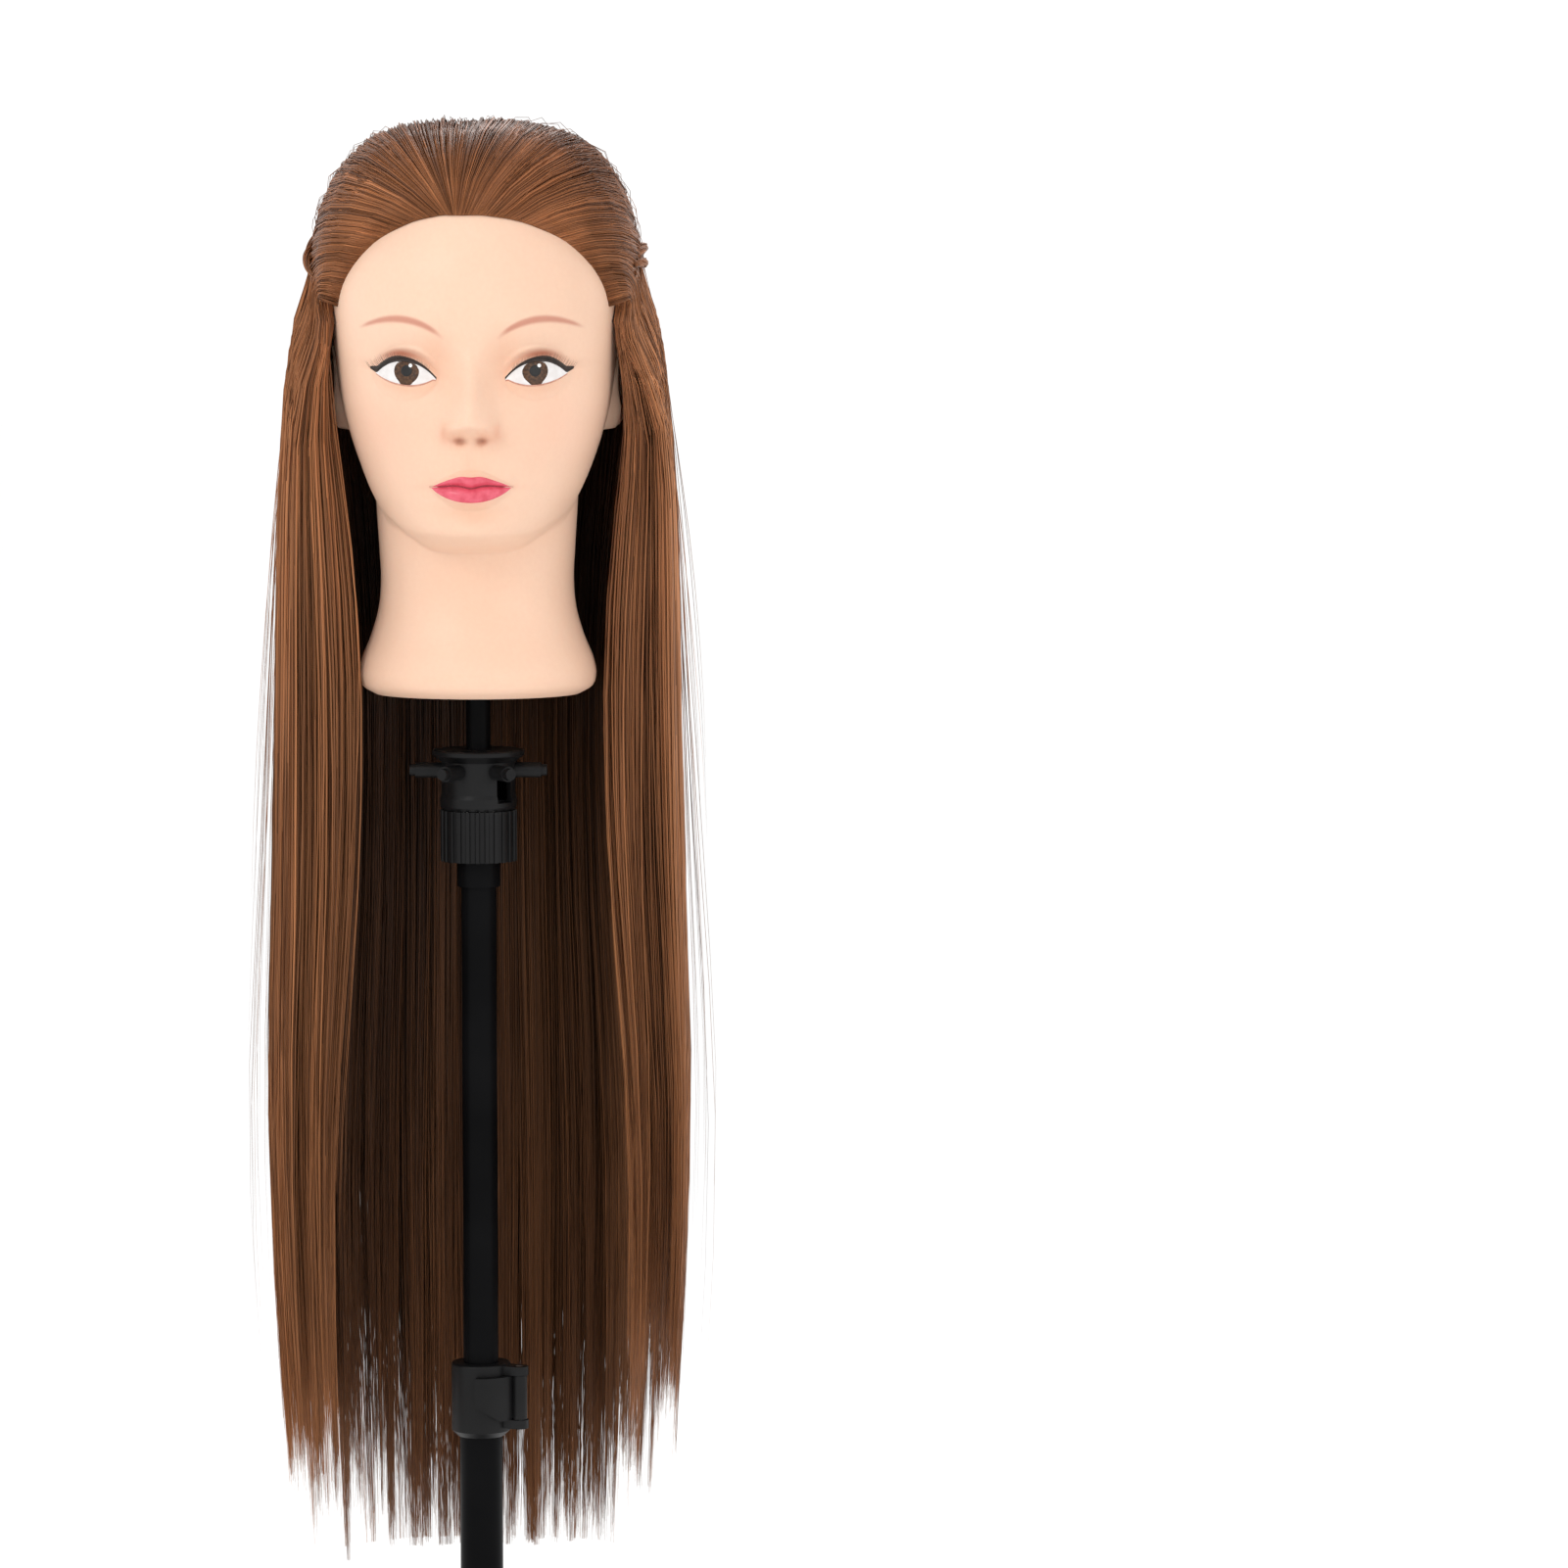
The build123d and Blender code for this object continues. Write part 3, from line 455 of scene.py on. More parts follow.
# Soft paint, part makeup and part painted shade: strength, then places as above, then the colour.
TINTS_AND_SHADE = (
    (0.30, 42, 14, 139, 14, (0.99, 0.80, 0.78)),  # cheeks
    (0.22, 17, 5, EYE_Z + 4, 10, (0.90, 0.70, 0.62)),  # painted shade in the inner corners of the eyes
    (0.30, 9.5, 4.5, NOSE_TIP - 9, 3.5, (0.86, 0.58, 0.50)),  # painted shade under the nose
    (0.62, 5.8, 2.3, NOSE_TIP - 10.3, 1.1, (0.45, 0.22, 0.18)),  # painted shade in the nostrils
    (0.40, 13.2, 1.5, NOSE_TIP - 6.5, 3.2, (0.86, 0.60, 0.52)),  # painted shade beside the nose's wings
    (0.30, 0, 11, MOUTH_Z - 12.5, 2.6, (0.93, 0.78, 0.70)),  # painted shade under the lower lip
)


def eye_axis(u):
    """The line from the eye's inner corner, at u = -1, up to its outer corner, at u = 1."""
    return EYE_Z - 1.6 + 2.1 * u


def eye_upper(u):
    """Upper edge of the eye's opening."""
    return eye_axis(u) + 7.4 * np.clip(1 - np.abs(u + 0.05) ** 2.3, 0, 1)


def eye_lower(u):
    return eye_axis(u) - 4.6 * np.clip(1 - np.abs(u - 0.1) ** 2.2, 0, 1)


def brow_middle(ax):
    """Height of the brow's centre line at a distance from the middle of the face."""
    t = np.clip((ax - BROW_IN) / (BROW_OUT - BROW_IN), -0.2, 1.2)
    return 181.2 + 11.0 * np.sin(np.clip(t, 0, 1) ** 0.80 * math.pi * 0.68) - 4.6 * t ** 2


def lip_upper(x):
    t = np.clip(np.abs(x) / MOUTH_HALF, 0, 1)
    return MOUTH_Z + 6.4 * (1 - t ** 1.45) - 1.3 * bump(x, 0, 2.6)


def lip_line(x):
    return MOUTH_Z + 0.8 * bump(np.abs(x), 8, 5) - 0.8 * bump(x, 0, 3.2)


def lip_lower(x):
    t = np.clip(np.abs(x) / MOUTH_HALF, 0, 1)
    return MOUTH_Z - 7.6 * (1 - t ** 2.1) ** 0.85


def relief(x, h):
    """How far the face's features stand forward of the plain oval."""
    ax = np.abs(x)
    out = sum(far * bump(ax, cx, wx) * bump(h, cz, wz) for far, cx, wx, cz, wz in FORMS)
    # eyes: the ball, and a fold and a crease along each lid
    u = (ax - EYE_X) / EYE_HALF
    ball = np.clip(1 - ((ax - EYE_X) / 17) ** 2 - ((h - EYE_Z) / 13.5) ** 2, 0, 1)
    out += 4.6 * ball ** 0.8
    lid = np.clip(1 - (u / 1.1) ** 2, 0, 1) ** 0.5
    out += 1.3 * bump(h, eye_upper(u) + 1.3, 1.2) * lid
    out += -1.1 * bump(h, eye_upper(u) + 4.6, 1.1) * lid
    out += 0.6 * bump(h, eye_lower(u) - 1.2, 1.2) * lid
    # nose: a ridge that grows from the bridge to the tip
    grow = 1 - smooth(h, NOSE_TIP + 1, 181)
    cut = smooth(h, NOSE_TIP - 11.5, NOSE_TIP - 2.5)
    height = 17.5 * grow ** 1.15 * cut
    width = 4.2 + 3.0 * (1 - smooth(h, NOSE_TIP - 4, NOSE_TIP + 28))
    out += height * np.exp(-0.5 * (ax / width) ** 2)
    # lips
    top, line, low = lip_upper(x), lip_line(x), lip_lower(x)
    taper = np.clip(1 - (ax / 21.0) ** 2, 0, 1) ** 0.6
    up = np.clip((h - line) / np.maximum(top - line, 0.5), -1, 2)
    down = np.clip((line - h) / np.maximum(line - low, 0.5), -1, 2)
    for share, full, end in ((up, 2.5, 1.6), (down, 3.6, 1.5)):
        swell = np.sin(np.clip(share / end, 0, 1) * math.pi) ** 0.8
        out += full * taper * np.where((share > 0) & (share < end), swell, 0)
    return out - 0.9 * taper * bump(h, line, 1.1)


def surface(angle, h):
    """Points of the head, at an angle from the front and a height over the neck's base."""
    angle, h = np.broadcast_arrays(angle, h)
    r = head_radius(angle, h)
    x, y = r * np.sin(angle), -r * np.cos(angle)
    front = smooth(np.cos(angle), 0.12, 0.5)
    return np.stack([x, y - relief(x, h) * front, NECK_BASE + h], axis=-1)


def face_points(x, h, lift=0.0):
    """Points on the front of the face above (x, h), standing off it by lift."""
    wide = curve_through(HEAD_Z, HEAD_WIDE, h)
    deep = curve_through(HEAD_Z, HEAD_FRONT, h)
    y = -deep * np.clip(1 - (np.abs(x) / wide) ** SIDE_POWER, 0, 1) ** (1 / SIDE_POWER)
    angle = np.arctan2(np.abs(x), -y)
    y = y - relief(x, h) * smooth(np.cos(angle), 0.12, 0.5)
    return np.stack([x, y - lift, NECK_BASE + h], axis=-1)


def makeup_and_shade(x, h):
    """Soft paint on the face, makeup and painted shade, as a colour that the skin's own is multiplied
    by.
    """
    ax = np.abs(x)
    u = (ax - EYE_X) / EYE_HALF
    tint = np.ones((*x.shape, 3))

    def paint(mask, colour):
        nonlocal tint
        tint = tint * (1 - mask[..., None] * (1 - np.array(colour)))

    t = np.clip((ax - BROW_IN) / (BROW_OUT - BROW_IN), 0, 1)
    half = 0.3 + 1.3 * np.sin(math.pi * (t * 0.86 + 0.14)) ** 0.9
    brow = 1 - smooth(np.abs(h - brow_middle(ax)), half - 0.9, half + 1.1)
    brow = brow * smooth(ax, BROW_IN - 2, BROW_IN + 6) * (1 - smooth(ax, BROW_OUT - 6, BROW_OUT + 1))
    paint(0.90 * brow, (0.66, 0.42, 0.40))
    crease = bump(h, eye_upper(u * 0.88) + 3.6 + 0.5 * u, 1.5) * bump(u, 0.15, 0.55)
    paint(np.clip(0.95 * crease, 0, 1), (0.50, 0.26, 0.20))
    lid = smooth(h, eye_upper(u), eye_upper(u) + 1) * (1 - smooth(h, eye_upper(u) + 2, eye_upper(u) + 6))
    paint(0.42 * lid * bump(u, 0.3, 0.6), (0.62, 0.36, 0.28))
    # painted shade under the eyes, below the lower lid's fold
    under_eye_shade = bump(h, eye_lower(u) - 1.8, 2.2) * bump(u, 0.1, 0.6)
    paint(0.35 * under_eye_shade, (0.86, 0.66, 0.56))
    for strength, cx, wx, cz, wz, colour in TINTS_AND_SHADE:
        paint(strength * bump(ax, cx, wx) * bump(h, cz, wz), colour)
    edge = bump(ax, 0, 13) * (bump(h, lip_upper(x) + 0.3, 0.9) + bump(h, lip_lower(x) - 0.5, 1.2))
    paint(np.clip(0.35 * edge, 0, 1), (0.93, 0.60, 0.58))
    return tint


def build_face():
    front = np.linspace(-1.25, 1.25, 300)
    rest = np.linspace(1.25, TAU - 1.25, 90)[1:-1]
    angles = np.concatenate([front, rest])
    heights = np.concatenate([
        np.array([0.0, 0.6, 1.5, 2.6, 4, 6, 8.5]), np.arange(11, 62, 2.5), np.arange(62, 92, 0.8),
        np.arange(92, 205, 0.55), np.arange(205, 270, 1.8), np.array([271, 274, 276.5, 278.5, 280])])
    ring = surface(angles[None, :], heights[:, None])
    rows, columns = ring.shape[:2]
    top = np.array([[0, SKULL_Y, NECK_BASE + 280.8]])
    # the neck's rim turns in under the base
    rim = ring[0] * np.array([0.86, 0.86, 1.0]) + np.array([0, 0, 0.4])
    verts = np.concatenate([ring.reshape(-1, 3), rim, top])
    base = rows * columns
    c = np.arange(columns)
    n = (c + 1) % columns
    lip = np.stack([base + c, base + n, n, c], axis=1)
    last = (rows - 1) * columns
    cap = np.stack([last + c, last + n, np.full(columns, base + columns)], axis=1)
    quads = np.concatenate([grid_faces(rows, columns, True), lip])
    face = mesh_object("face", placed(verts), [quads, cap], MAT["face"], "head",
                       outward=True)
    tint = np.ones((len(verts), 4))
    in_front = np.cos(angles)[None, :] > 0.2
    soft = makeup_and_shade(ring[..., 0], ring[..., 2] - NECK_BASE)
    tint[:rows * columns, :3] = np.where(in_front[..., None], soft, 1.0).reshape(-1, 3)
    layer = face.data.color_attributes.new("makeup_and_shade", "FLOAT_COLOR", "POINT")
    layer.data.foreach_set("color", tint.astype(np.float32).ravel())
    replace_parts(face, "face_shell")


def decal(name, x_low, x_high, lower, upper, material, lift, across, up):
    """A thin painted patch on the face between two curves, proud in its middle."""
    t = (1 - np.cos(np.linspace(0, math.pi, across))) / 2
    x = (x_low + (x_high - x_low) * t)[None, :]
    v = np.linspace(0, 1, up)[:, None]
    low, high = lower(x), upper(x)
    h = low + (np.maximum(high, low + 0.02) - low) * v
    x = np.broadcast_to(x, h.shape)
    edge = np.sin(v * math.pi) * np.sin(t * math.pi)[None, :]
    proud = 0.06 + (lift - 0.06) * np.clip(edge * 2.5, 0, 1)
    verts, faces = thick_sheet(face_points(x, h, proud), face_points(x, h, -0.5))
    mesh_object(name, placed(verts), [faces], material, "head", outward=True)


def disc(name, cx, cz, radius, material, lift, top=None, bottom=None):
    """A round patch on the face, cut off by a curve above it and one below."""
    def half(x):
        return radius * np.sqrt(np.clip(1 - ((x - cx) / radius) ** 2, 0, 1))

    def upper(x):
        return cz + half(x) if top is None else np.minimum(cz + half(x), top(x))

    def lower(x):
        return cz - half(x) if bottom is None else np.maximum(cz - half(x), bottom(x))

    decal(name, cx - radius, cx + radius, lower, upper, material, lift, 36, 16)


def build_eye(side):
    tag = "left" if side < 0 else "right"

    def u_of(x):
        return (side * x - EYE_X) / EYE_HALF

    def upper(x):
        return eye_upper(u_of(x))

    def lower(x):
        return eye_lower(u_of(x))

    # the lash line runs on past the outer corner, where it turns up
    def lash_low(x):
        return eye_upper(np.clip(u_of(x), -1, 1)) - 0.5 + 9 * np.clip(u_of(x) - 1, 0, 1)

    def lash_high(x):
        return lash_low(x) + 1.3 + 1.9 * smooth(u_of(x), -0.9, 0.5) - 10 * np.clip(u_of(x) - 1, 0, 0.24)

    a, b = sorted((side * (EYE_X - EYE_HALF), side * (EYE_X + EYE_HALF)))
    decal(f"eye_white_{tag}", a, b, lower, upper, MAT["white"], 0.3, 56, 18)
    cx, cz = side * (EYE_X - 0.6), EYE_Z + 0.9
    disc(f"iris_{tag}", cx, cz, IRIS_RADIUS, MAT["iris"], 0.5, lambda x: upper(x) - 0.2,
         lambda x: lower(x) - 0.2)
    disc(f"pupil_{tag}", cx, cz, PUPIL_RADIUS, MAT["pupil"], 0.7)
    # a painted highlight on the eye
    disc(f"glint_{tag}", cx + 2.0, cz + 2.6, GLINT_RADIUS, MAT["glint"], 0.9)
    a2, b2 = sorted((side * (EYE_X - EYE_HALF - 0.2), side * (EYE_X + EYE_HALF + 3.0)))
    decal(f"lash_line_{tag}", a2, b2, lash_low, lash_high, MAT["lash"], 0.5, 64, 8)
    decal(f"lower_lash_line_{tag}", a, b, lambda x: lower(x) - 0.5, lambda x: lower(x) + 0.25,
          MAT["shadow"], 0.4, 56, 6)
    build_lashes(side, tag)


def build_lashes(side, tag):
    """Fine curved lashes along the upper lid, longer at the outer corner."""
    count, steps = 46, 7
    u = np.linspace(-0.75, 1.05, count)
    x = side * (EYE_X + u * EYE_HALF)
    root = face_points(x, eye_upper(np.clip(u, -1, 1)) + 0.6, 0.35)
    t = np.linspace(0, 1, steps)[None, :]
    length = (2.6 + 2.6 * smooth(u, -0.6, 0.9))[:, None] * rng.uniform(0.85, 1.1, (count, 1))
    lean = (0.25 + 0.55 * u)[:, None] + rng.normal(0, 0.08, (count, 1))
    paths = np.repeat(root[:, None], steps, axis=1)
    paths[..., 0] += side * lean * length * t
    paths[..., 1] -= 0.75 * length * np.sin(t * 1.4)
    paths[..., 2] += length * (0.15 * t + 0.75 * t ** 2)
    verts, quads, caps, uv = tubes(paths, np.full(count, 0.11), 3, 0.7)
    mesh_object(f"lashes_{tag}", placed(verts), [quads, caps], MAT["lash"], "head", uv)


def build_lips():
    decal("upper_lip", -20.3, 20.3, lambda x: lip_line(x) + 0.05, lip_upper, MAT["lips"], 0.3, 72, 14)
    decal("lower_lip", -19.8, 19.8, lip_lower, lambda x: lip_line(x) - 0.05, MAT["lips"], 0.3, 72, 16)
    # the dark line between the lips is painted shade
    decal("mouth_line_painted_shade", -20.8, 20.8, lambda x: lip_line(x) - 0.35, lambda x: lip_line(x) + 0.35,
          MAT["mouth"], 0.5, 72, 5)


build_face()
for eye_side in (-1, 1):
    build_eye(eye_side)
build_lips()


# ------------------------------------------------------------------ ears
def build_ear(side):
    """An ear as a curled dish: rim, inner fold, hollow and lobe on an oval outline."""
    tag = "left" if side < 0 else "right"
    around, inward = 72, 26  # points round the outline, and from it to the middle
    t = np.linspace(0, TAU, around, endpoint=False)[None, :]
    r = np.linspace(1, 0.02, inward)[:, None]
    tall, wide = 25.5, 14.5  # half height and half width
    along = np.sin(t) * tall * r
    fore = np.cos(t) * wide * r * (0.82 + 0.18 * np.sin(t))
    rim = smooth(r, 1.0, 0.86) * (1 - 0.75 * smooth(r, 0.86, 0.66))
    fold = 0.32 * bump(r, 0.5, 0.09) * smooth(np.sin(t), -0.6, 0.2)
    hollow = 0.35 * bump(fore, -4, 4.5) * bump(along, -3, 8)
    lobe = 0.45 * bump(along, -18, 5)
    flare = 0.15 + 0.85 * smooth(fore, -wide, wide * 0.7)
    flare = flare * (0.25 + 0.75 * smooth(along, -tall, -tall * 0.3))
    out = 3.5 + 11.5 * flare * np.clip(rim + fold - hollow + lobe * (r < 0.9), 0, 1.1)
    out = np.where(r > 0.985, -3.0, out)  # the outline itself is sunk in the head
    lean = 0.30  # of the ear away from the head, in radians
    x = side * (66.5 + out * math.cos(lean))
    y = 4 + fore + out * math.sin(lean)
    z = np.broadcast_to(NECK_BASE + 159 + along + fore * 0.12, x.shape)
    verts = np.stack([x, y, z], axis=-1).reshape(-1, 3)
    verts = np.concatenate([verts, verts[-around:].mean(axis=0, keepdims=True)])
    last = (inward - 1) * around
    c = np.arange(around)
    cap = np.stack([last + c, last + (c + 1) % around, np.full(around, len(verts) - 1)], axis=1)
    mesh_object(f"ear_{tag}", placed(verts), [grid_faces(inward, around, True), cap], MAT["skin"],
                "head", outward=True)


build_ear(-1)
build_ear(1)

# ------------------------------------------------------------------ hair
# Every strand follows one of the head's flow lines: from the hairline over the dome to the level
# of the twists, then down one of the curtains. `turn` is the angle round the head, 0 at the front
# and pi at the back, positive on the right. Heights are above the floor.
DOME_Y, DOME_Z = SKULL_Y, NECK_BASE + SKULL_Z
TWIST_Z = 1128.0
TEMPLE = 1.12  # where the curtains begin, in radians from the front
TEMPLE_DROP = 38.0  # how much lower the hair begins to hang at the temples
EAR_TUCK, EAR_COVER = 0.30, -0.10  # swing behind the right ear and over the left, in radians
WHORL = 0.12  # how far left of the middle the hair parts, in radians
# the hairline, from the middle of the forehead (0) to the temple (1)
HAIRLINE_Q = (0, 0.3, 0.55, 0.75, 0.9, 1)
HAIRLINE_ANGLE = (0, 13, 30, 47, 58, 65.5)
HAIRLINE_Z = (1142, 1141.5, 1137, 1127, 1112, 1097)
# the curtains' outer face, by height
CURTAIN_Z = (430, 520, 600, 700, 800, 900, 1000, 1040, 1080, 1100, 1120, 1140)
CURTAIN_WIDE = (97, 101, 106, 109, 106, 103.5, 100.5, 98, 94, 91, 86, 81)
CURTAIN_BACK = (102, 106, 110, 113, 113.5, 113, 112, 111, 109, 107, 104, 99)
CURTAIN_FRONT = (68, 72, 75, 77, 78, 80, 82, 83, 84, 84, 83, 80)
THICK_Z = (430, 600, 1000, 1060, 1140)
THICK = (24, 30, 29, 17, 7)


def dome_axes(direction):
    """Half axes of the skull, a little over its skin; the front half is longer."""
    front = direction[..., 1:2] < 0
    return np.concatenate([np.full(front.shape, SKULL_WIDE + 1),
                           np.where(front, SKULL_FRONT + 1, SKULL_BACK + 1),
                           np.full(front.shape, SKULL_HIGH + 1)], axis=-1)


def dome_point(direction, lift, square=1.0):
    """A point over the skull in a unit direction, lifted off it; square fills out the shoulders."""
    share = np.abs(direction / (dome_axes(direction) + lift[..., None]))
    round_reach = (share ** 2).sum(-1) ** -0.5
    across = (share[..., 0] ** 3 + share[..., 2] ** 3) ** (2 / 3)
    square_reach = (across + share[..., 1] ** 2) ** -0.5
    reach = round_reach + (square_reach - round_reach) * square
    return direction * reach[..., None] + np.array([0, DOME_Y, DOME_Z])


def curtain_radius(turn, z, depth):
    """Distance from the axis of the hanging hair; depth 0 is its outer face, 1 its inner."""
    ahead = np.cos(turn) > 0
    deep = np.where(ahead, curve_through(CURTAIN_Z, CURTAIN_FRONT, z),
                    curve_through(CURTAIN_Z, CURTAIN_BACK, z))
    power = np.where(ahead, 2.0, 2.5)
    total = ((np.abs(np.sin(turn)) / curve_through(CURTAIN_Z, CURTAIN_WIDE, z)) ** power
             + (np.abs(np.cos(turn)) / deep) ** power)
    return total ** (-1 / power) - depth * curve_through(THICK_Z, THICK, z)


def tip_height(turn):
    """Where the hair ends: longest at the back, shorter at the sides, most on the right."""
    side = np.sin(turn)
    return HAIR_TIP + 12 + np.where(side > 0, 120, 88) * np.abs(side) ** 3


def flow_lines(turn, start, lift, depth, tips, samples, wave, fan):
    """Paths of many strands at once, as an array strand x sample x 3.

    start is the share of the dome that a strand leaves out, lift its height over the skull, depth
    its place in the curtain's thickness, and fan how early it sweeps to the side.
    """
    away = (math.pi - turn) / (math.pi - TEMPLE)
    hand = np.sign(away)
    q = np.clip(np.abs(away), 0, 1)
    alpha = hand * np.radians(curve_through(HAIRLINE_Q, HAIRLINE_ANGLE, q)) - WHORL * (1 - q) ** 2
    root_z = curve_through(HAIRLINE_Q, HAIRLINE_Z, q) - DOME_Z
    cut = np.sqrt(1 - (root_z / SKULL_HIGH) ** 2)
    level = TWIST_Z - TEMPLE_DROP * smooth(q, 0.72, 1.0)  # where the hair begins to hang
    radius = curtain_radius(turn, level, np.zeros(len(turn)))
    # over the dome: a curve through three directions from the skull's centre
    begin = unit(np.stack([SKULL_WIDE * np.sin(alpha) * cut, -SKULL_FRONT * np.cos(alpha) * cut,
                           root_z], -1))
    middle = unit(np.stack([1.05 * hand * q ** fan - 0.10 * (1 - q), -0.50 + 0.12 * q,
                            1.16 - 0.94 * q ** 0.8], -1))
    end = unit(np.stack([radius * np.sin(turn), -radius * np.cos(turn) - DOME_Y,
                         level - DOME_Z], -1))
    dome_count = samples * 2 // 5
    t = start[:, None] + (1 - start[:, None]) * np.linspace(0, 1, dome_count)[None, :]
    t3 = t[..., None]
    way = unit(begin[:, None] * (1 - t3) ** 2 + 2 * middle[:, None] * t3 * (1 - t3)
               + end[:, None] * t3 ** 2)
    rise = lift[:, None] * smooth(t, start[:, None] - 0.03, start[:, None] + 0.2) - 0.6
    over = dome_point(way, rise, smooth(t, 0.02, 0.45))
    # hanging: level by level down the curtain
    s = np.linspace(0, 1, samples - dome_count + 1)[None, 1:] ** 1.6
    z = level[:, None] + (tips - level)[:, None] * s
    fallen = level[:, None] - z
    tuck = np.where(turn < math.pi, EAR_TUCK, EAR_COVER) * smooth(q, 0.45, 1.0)
    swing = (turn[:, None] + wave[:, None] * np.sin(s * 2.6) * 0.05
             + tuck[:, None] * smooth(fallen, 0, 75))
    near = np.hypot(over[:, -1:, 0], over[:, -1:, 1])
    radius = near + (curtain_radius(swing, z, depth[:, None]) - near) * smooth(fallen, -4, 42)
    drop = np.stack([radius * np.sin(swing), -radius * np.cos(swing), z], -1)
    return np.concatenate([over, drop], axis=1)


def strand_object(name, paths, radius, material, sides=3, taper=0.25, flat=1.0):
    """One mesh of many strands."""
    verts, quads, caps, uv = tubes(paths, radius, sides, taper, flat)
    return mesh_object(name, placed(verts), [quads, caps], material, "head", uv)


def clump(paths, lock, strength, from_sample):
    """Draws strands together towards the middle of their lock, more and more along the way."""
    count = lock.max() + 1
    m = paths.shape[1]
    centre = np.zeros((count, m, 3))
    np.add.at(centre, lock, paths)
    size = np.bincount(lock, minlength=count)[:, None, None]
    centre /= np.maximum(size, 1)
    t = np.clip((np.arange(m) - from_sample) / (m - 1 - from_sample), 0, 1)
    pull = strength[:, None] * (t ** 1.5)[None, :]
    out = paths.copy()
    out[..., :2] += (centre[lock][..., :2] - paths[..., :2]) * pull[..., None]
    return out


def build_cap():
    """The net cap that the hair is tied into, from the hairline to the nape."""
    turn = np.linspace(TEMPLE, TAU - TEMPLE, 150)
    n = len(turn)
    over = flow_lines(turn, np.full(n, 0.035), np.full(n, 0.6), np.zeros(n), np.full(n, 900.0), 40,
                      np.zeros(n), 1.0)[:, :16]
    low = 62 + 48 * smooth(np.abs(np.sin(turn)), 0.2, 0.9) + 72 * smooth(np.cos(turn), -0.35, 0.25)
    share = np.linspace(0, 1, 15)[None, 1:]
    first = over[:, -1, 2:3] - NECK_BASE
    h = first + (low[:, None] - first) * share
    down = surface(math.pi + (turn[:, None] - math.pi) * (1 - 0.07 * smooth(share, 0, 0.4)), h)
    grid = np.concatenate([over, down + unit(down * LEVEL)], axis=1)
    centre = np.array([0, DOME_Y, DOME_Z])
    verts, faces = thick_sheet(grid, centre + (grid - centre) * 0.97)
    cap = mesh_object("wig_cap", placed(verts), [faces], MAT["net"], "head", outward=True)
    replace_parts(cap, "scalp_cap")


SAMPLES = 20  # points along a strand
STRANDS = int(1700 * (1.0))  # in one piece
LOCK_SIZE = 34


def waved(paths, count):
    """The strands with a slow wave of their own, which starts past their roots."""
    t = np.linspace(0, 1, SAMPLES)[None, :, None]
    phase = rng.uniform(0, TAU, count)[:, None, None]
    wobble = rng.normal(0, 0.45, (count, 1, 3))
    return paths + wobble * np.sin(t * 9 + phase) * smooth(t, 0.05, 0.4)


def build_hair(name, low, high, inner):
    """Strands whose place round the head lies between two angles."""
    count = STRANDS
    locks = max(8, count // LOCK_SIZE)
    lock_turn = low + (high - low) * rng.uniform(0, 1, locks)
    lock_depth = rng.uniform(0.1, 1, locks)
    lock_tip = rng.normal(0, 24, locks) + 60 * (rng.uniform(0, 1, locks) < 0.2)
    lock = rng.integers(0, locks, count)
    turn = np.clip(lock_turn[lock] + rng.normal(0, 0.04, count), low - 0.03, high + 0.03)
    turn = np.clip(turn, TEMPLE, TAU - TEMPLE)
    if inner:
        depth = np.clip(lock_depth[lock] + rng.normal(0, 0.12, count), 0.05, 1.0)
        lift = rng.uniform(1.5, 7, count)
    else:
        depth = np.abs(rng.normal(0, 0.09, count))
        lift = rng.uniform(6.3, 9.0, count) + rng.normal(0, 0.6, locks)[lock]
    start = np.where(rng.uniform(0, 1, count) < 0.55, 0.0, rng.uniform(0, 0.75, count))
    tips = tip_height(turn) + lock_tip[lock] + rng.normal(0, 8, count)
    tips = tips + np.where(rng.uniform(0, 1, count) < 0.15, rng.uniform(20, 160, count), 0)
    tips = np.maximum(tips, HAIR_TIP - 4)
    paths = flow_lines(turn, start, lift, depth, tips, SAMPLES, rng.normal(0, 0.8, count),
                       0.8 if inner else 0.50)
    paths = clump(paths, lock, rng.uniform(0.5, 0.92, count), SAMPLES * 2 // 5 + 2)
    paths = waved(paths, count)
    at_back = abs(low + high - TAU) < 2.6  # seen from the front, it lies in the shade
    return strand_object(name, paths, rng.uniform(0.26, 0.44, count),
                         MAT["hair_shaded" if inner and at_back else "hair"])


def build_under(name, low, high, count):
    """Broad locks in painted shade in the middle of the mass, which keep light from passing through."""
    turn = np.linspace(max(low, TEMPLE + 0.14), min(high, TAU - TEMPLE - 0.14), count)
    tips = tip_height(turn) + rng.uniform(90, 150, count)
    paths = flow_lines(turn, np.full(count, 0.07), np.full(count, 1.6), np.full(count, 0.5), tips, 30,
                       np.zeros(count), 1.0)
    strand_object(name, paths, np.full(count, 2.4), MAT["under"], 8, 0.5)


SIDE_END, BACK_END = 1.75, 2.45  # angles where the side and the part behind it end
# each section's name, angles and number of layers
SECTIONS = (("right_side", TEMPLE, SIDE_END, 1), ("right_back", SIDE_END, BACK_END, 1),
            ("middle", BACK_END, TAU - BACK_END, 2), ("left_back", TAU - BACK_END, TAU - SIDE_END, 1),
            ("left_side", TAU - SIDE_END, TAU - TEMPLE, 1))
UNDER_LOCKS = 26
build_cap()
for label, section_low, section_high, layers in SECTIONS:
    for layer in range(1, layers + 1):
        build_hair(f"hair_{label}_outer_{layer}", section_low, section_high, False)
        build_hair(f"hair_{label}_inner_{layer}", section_low, section_high, True)
    build_under(f"hair_{label}_under", section_low, section_high, UNDER_LOCKS * layers)


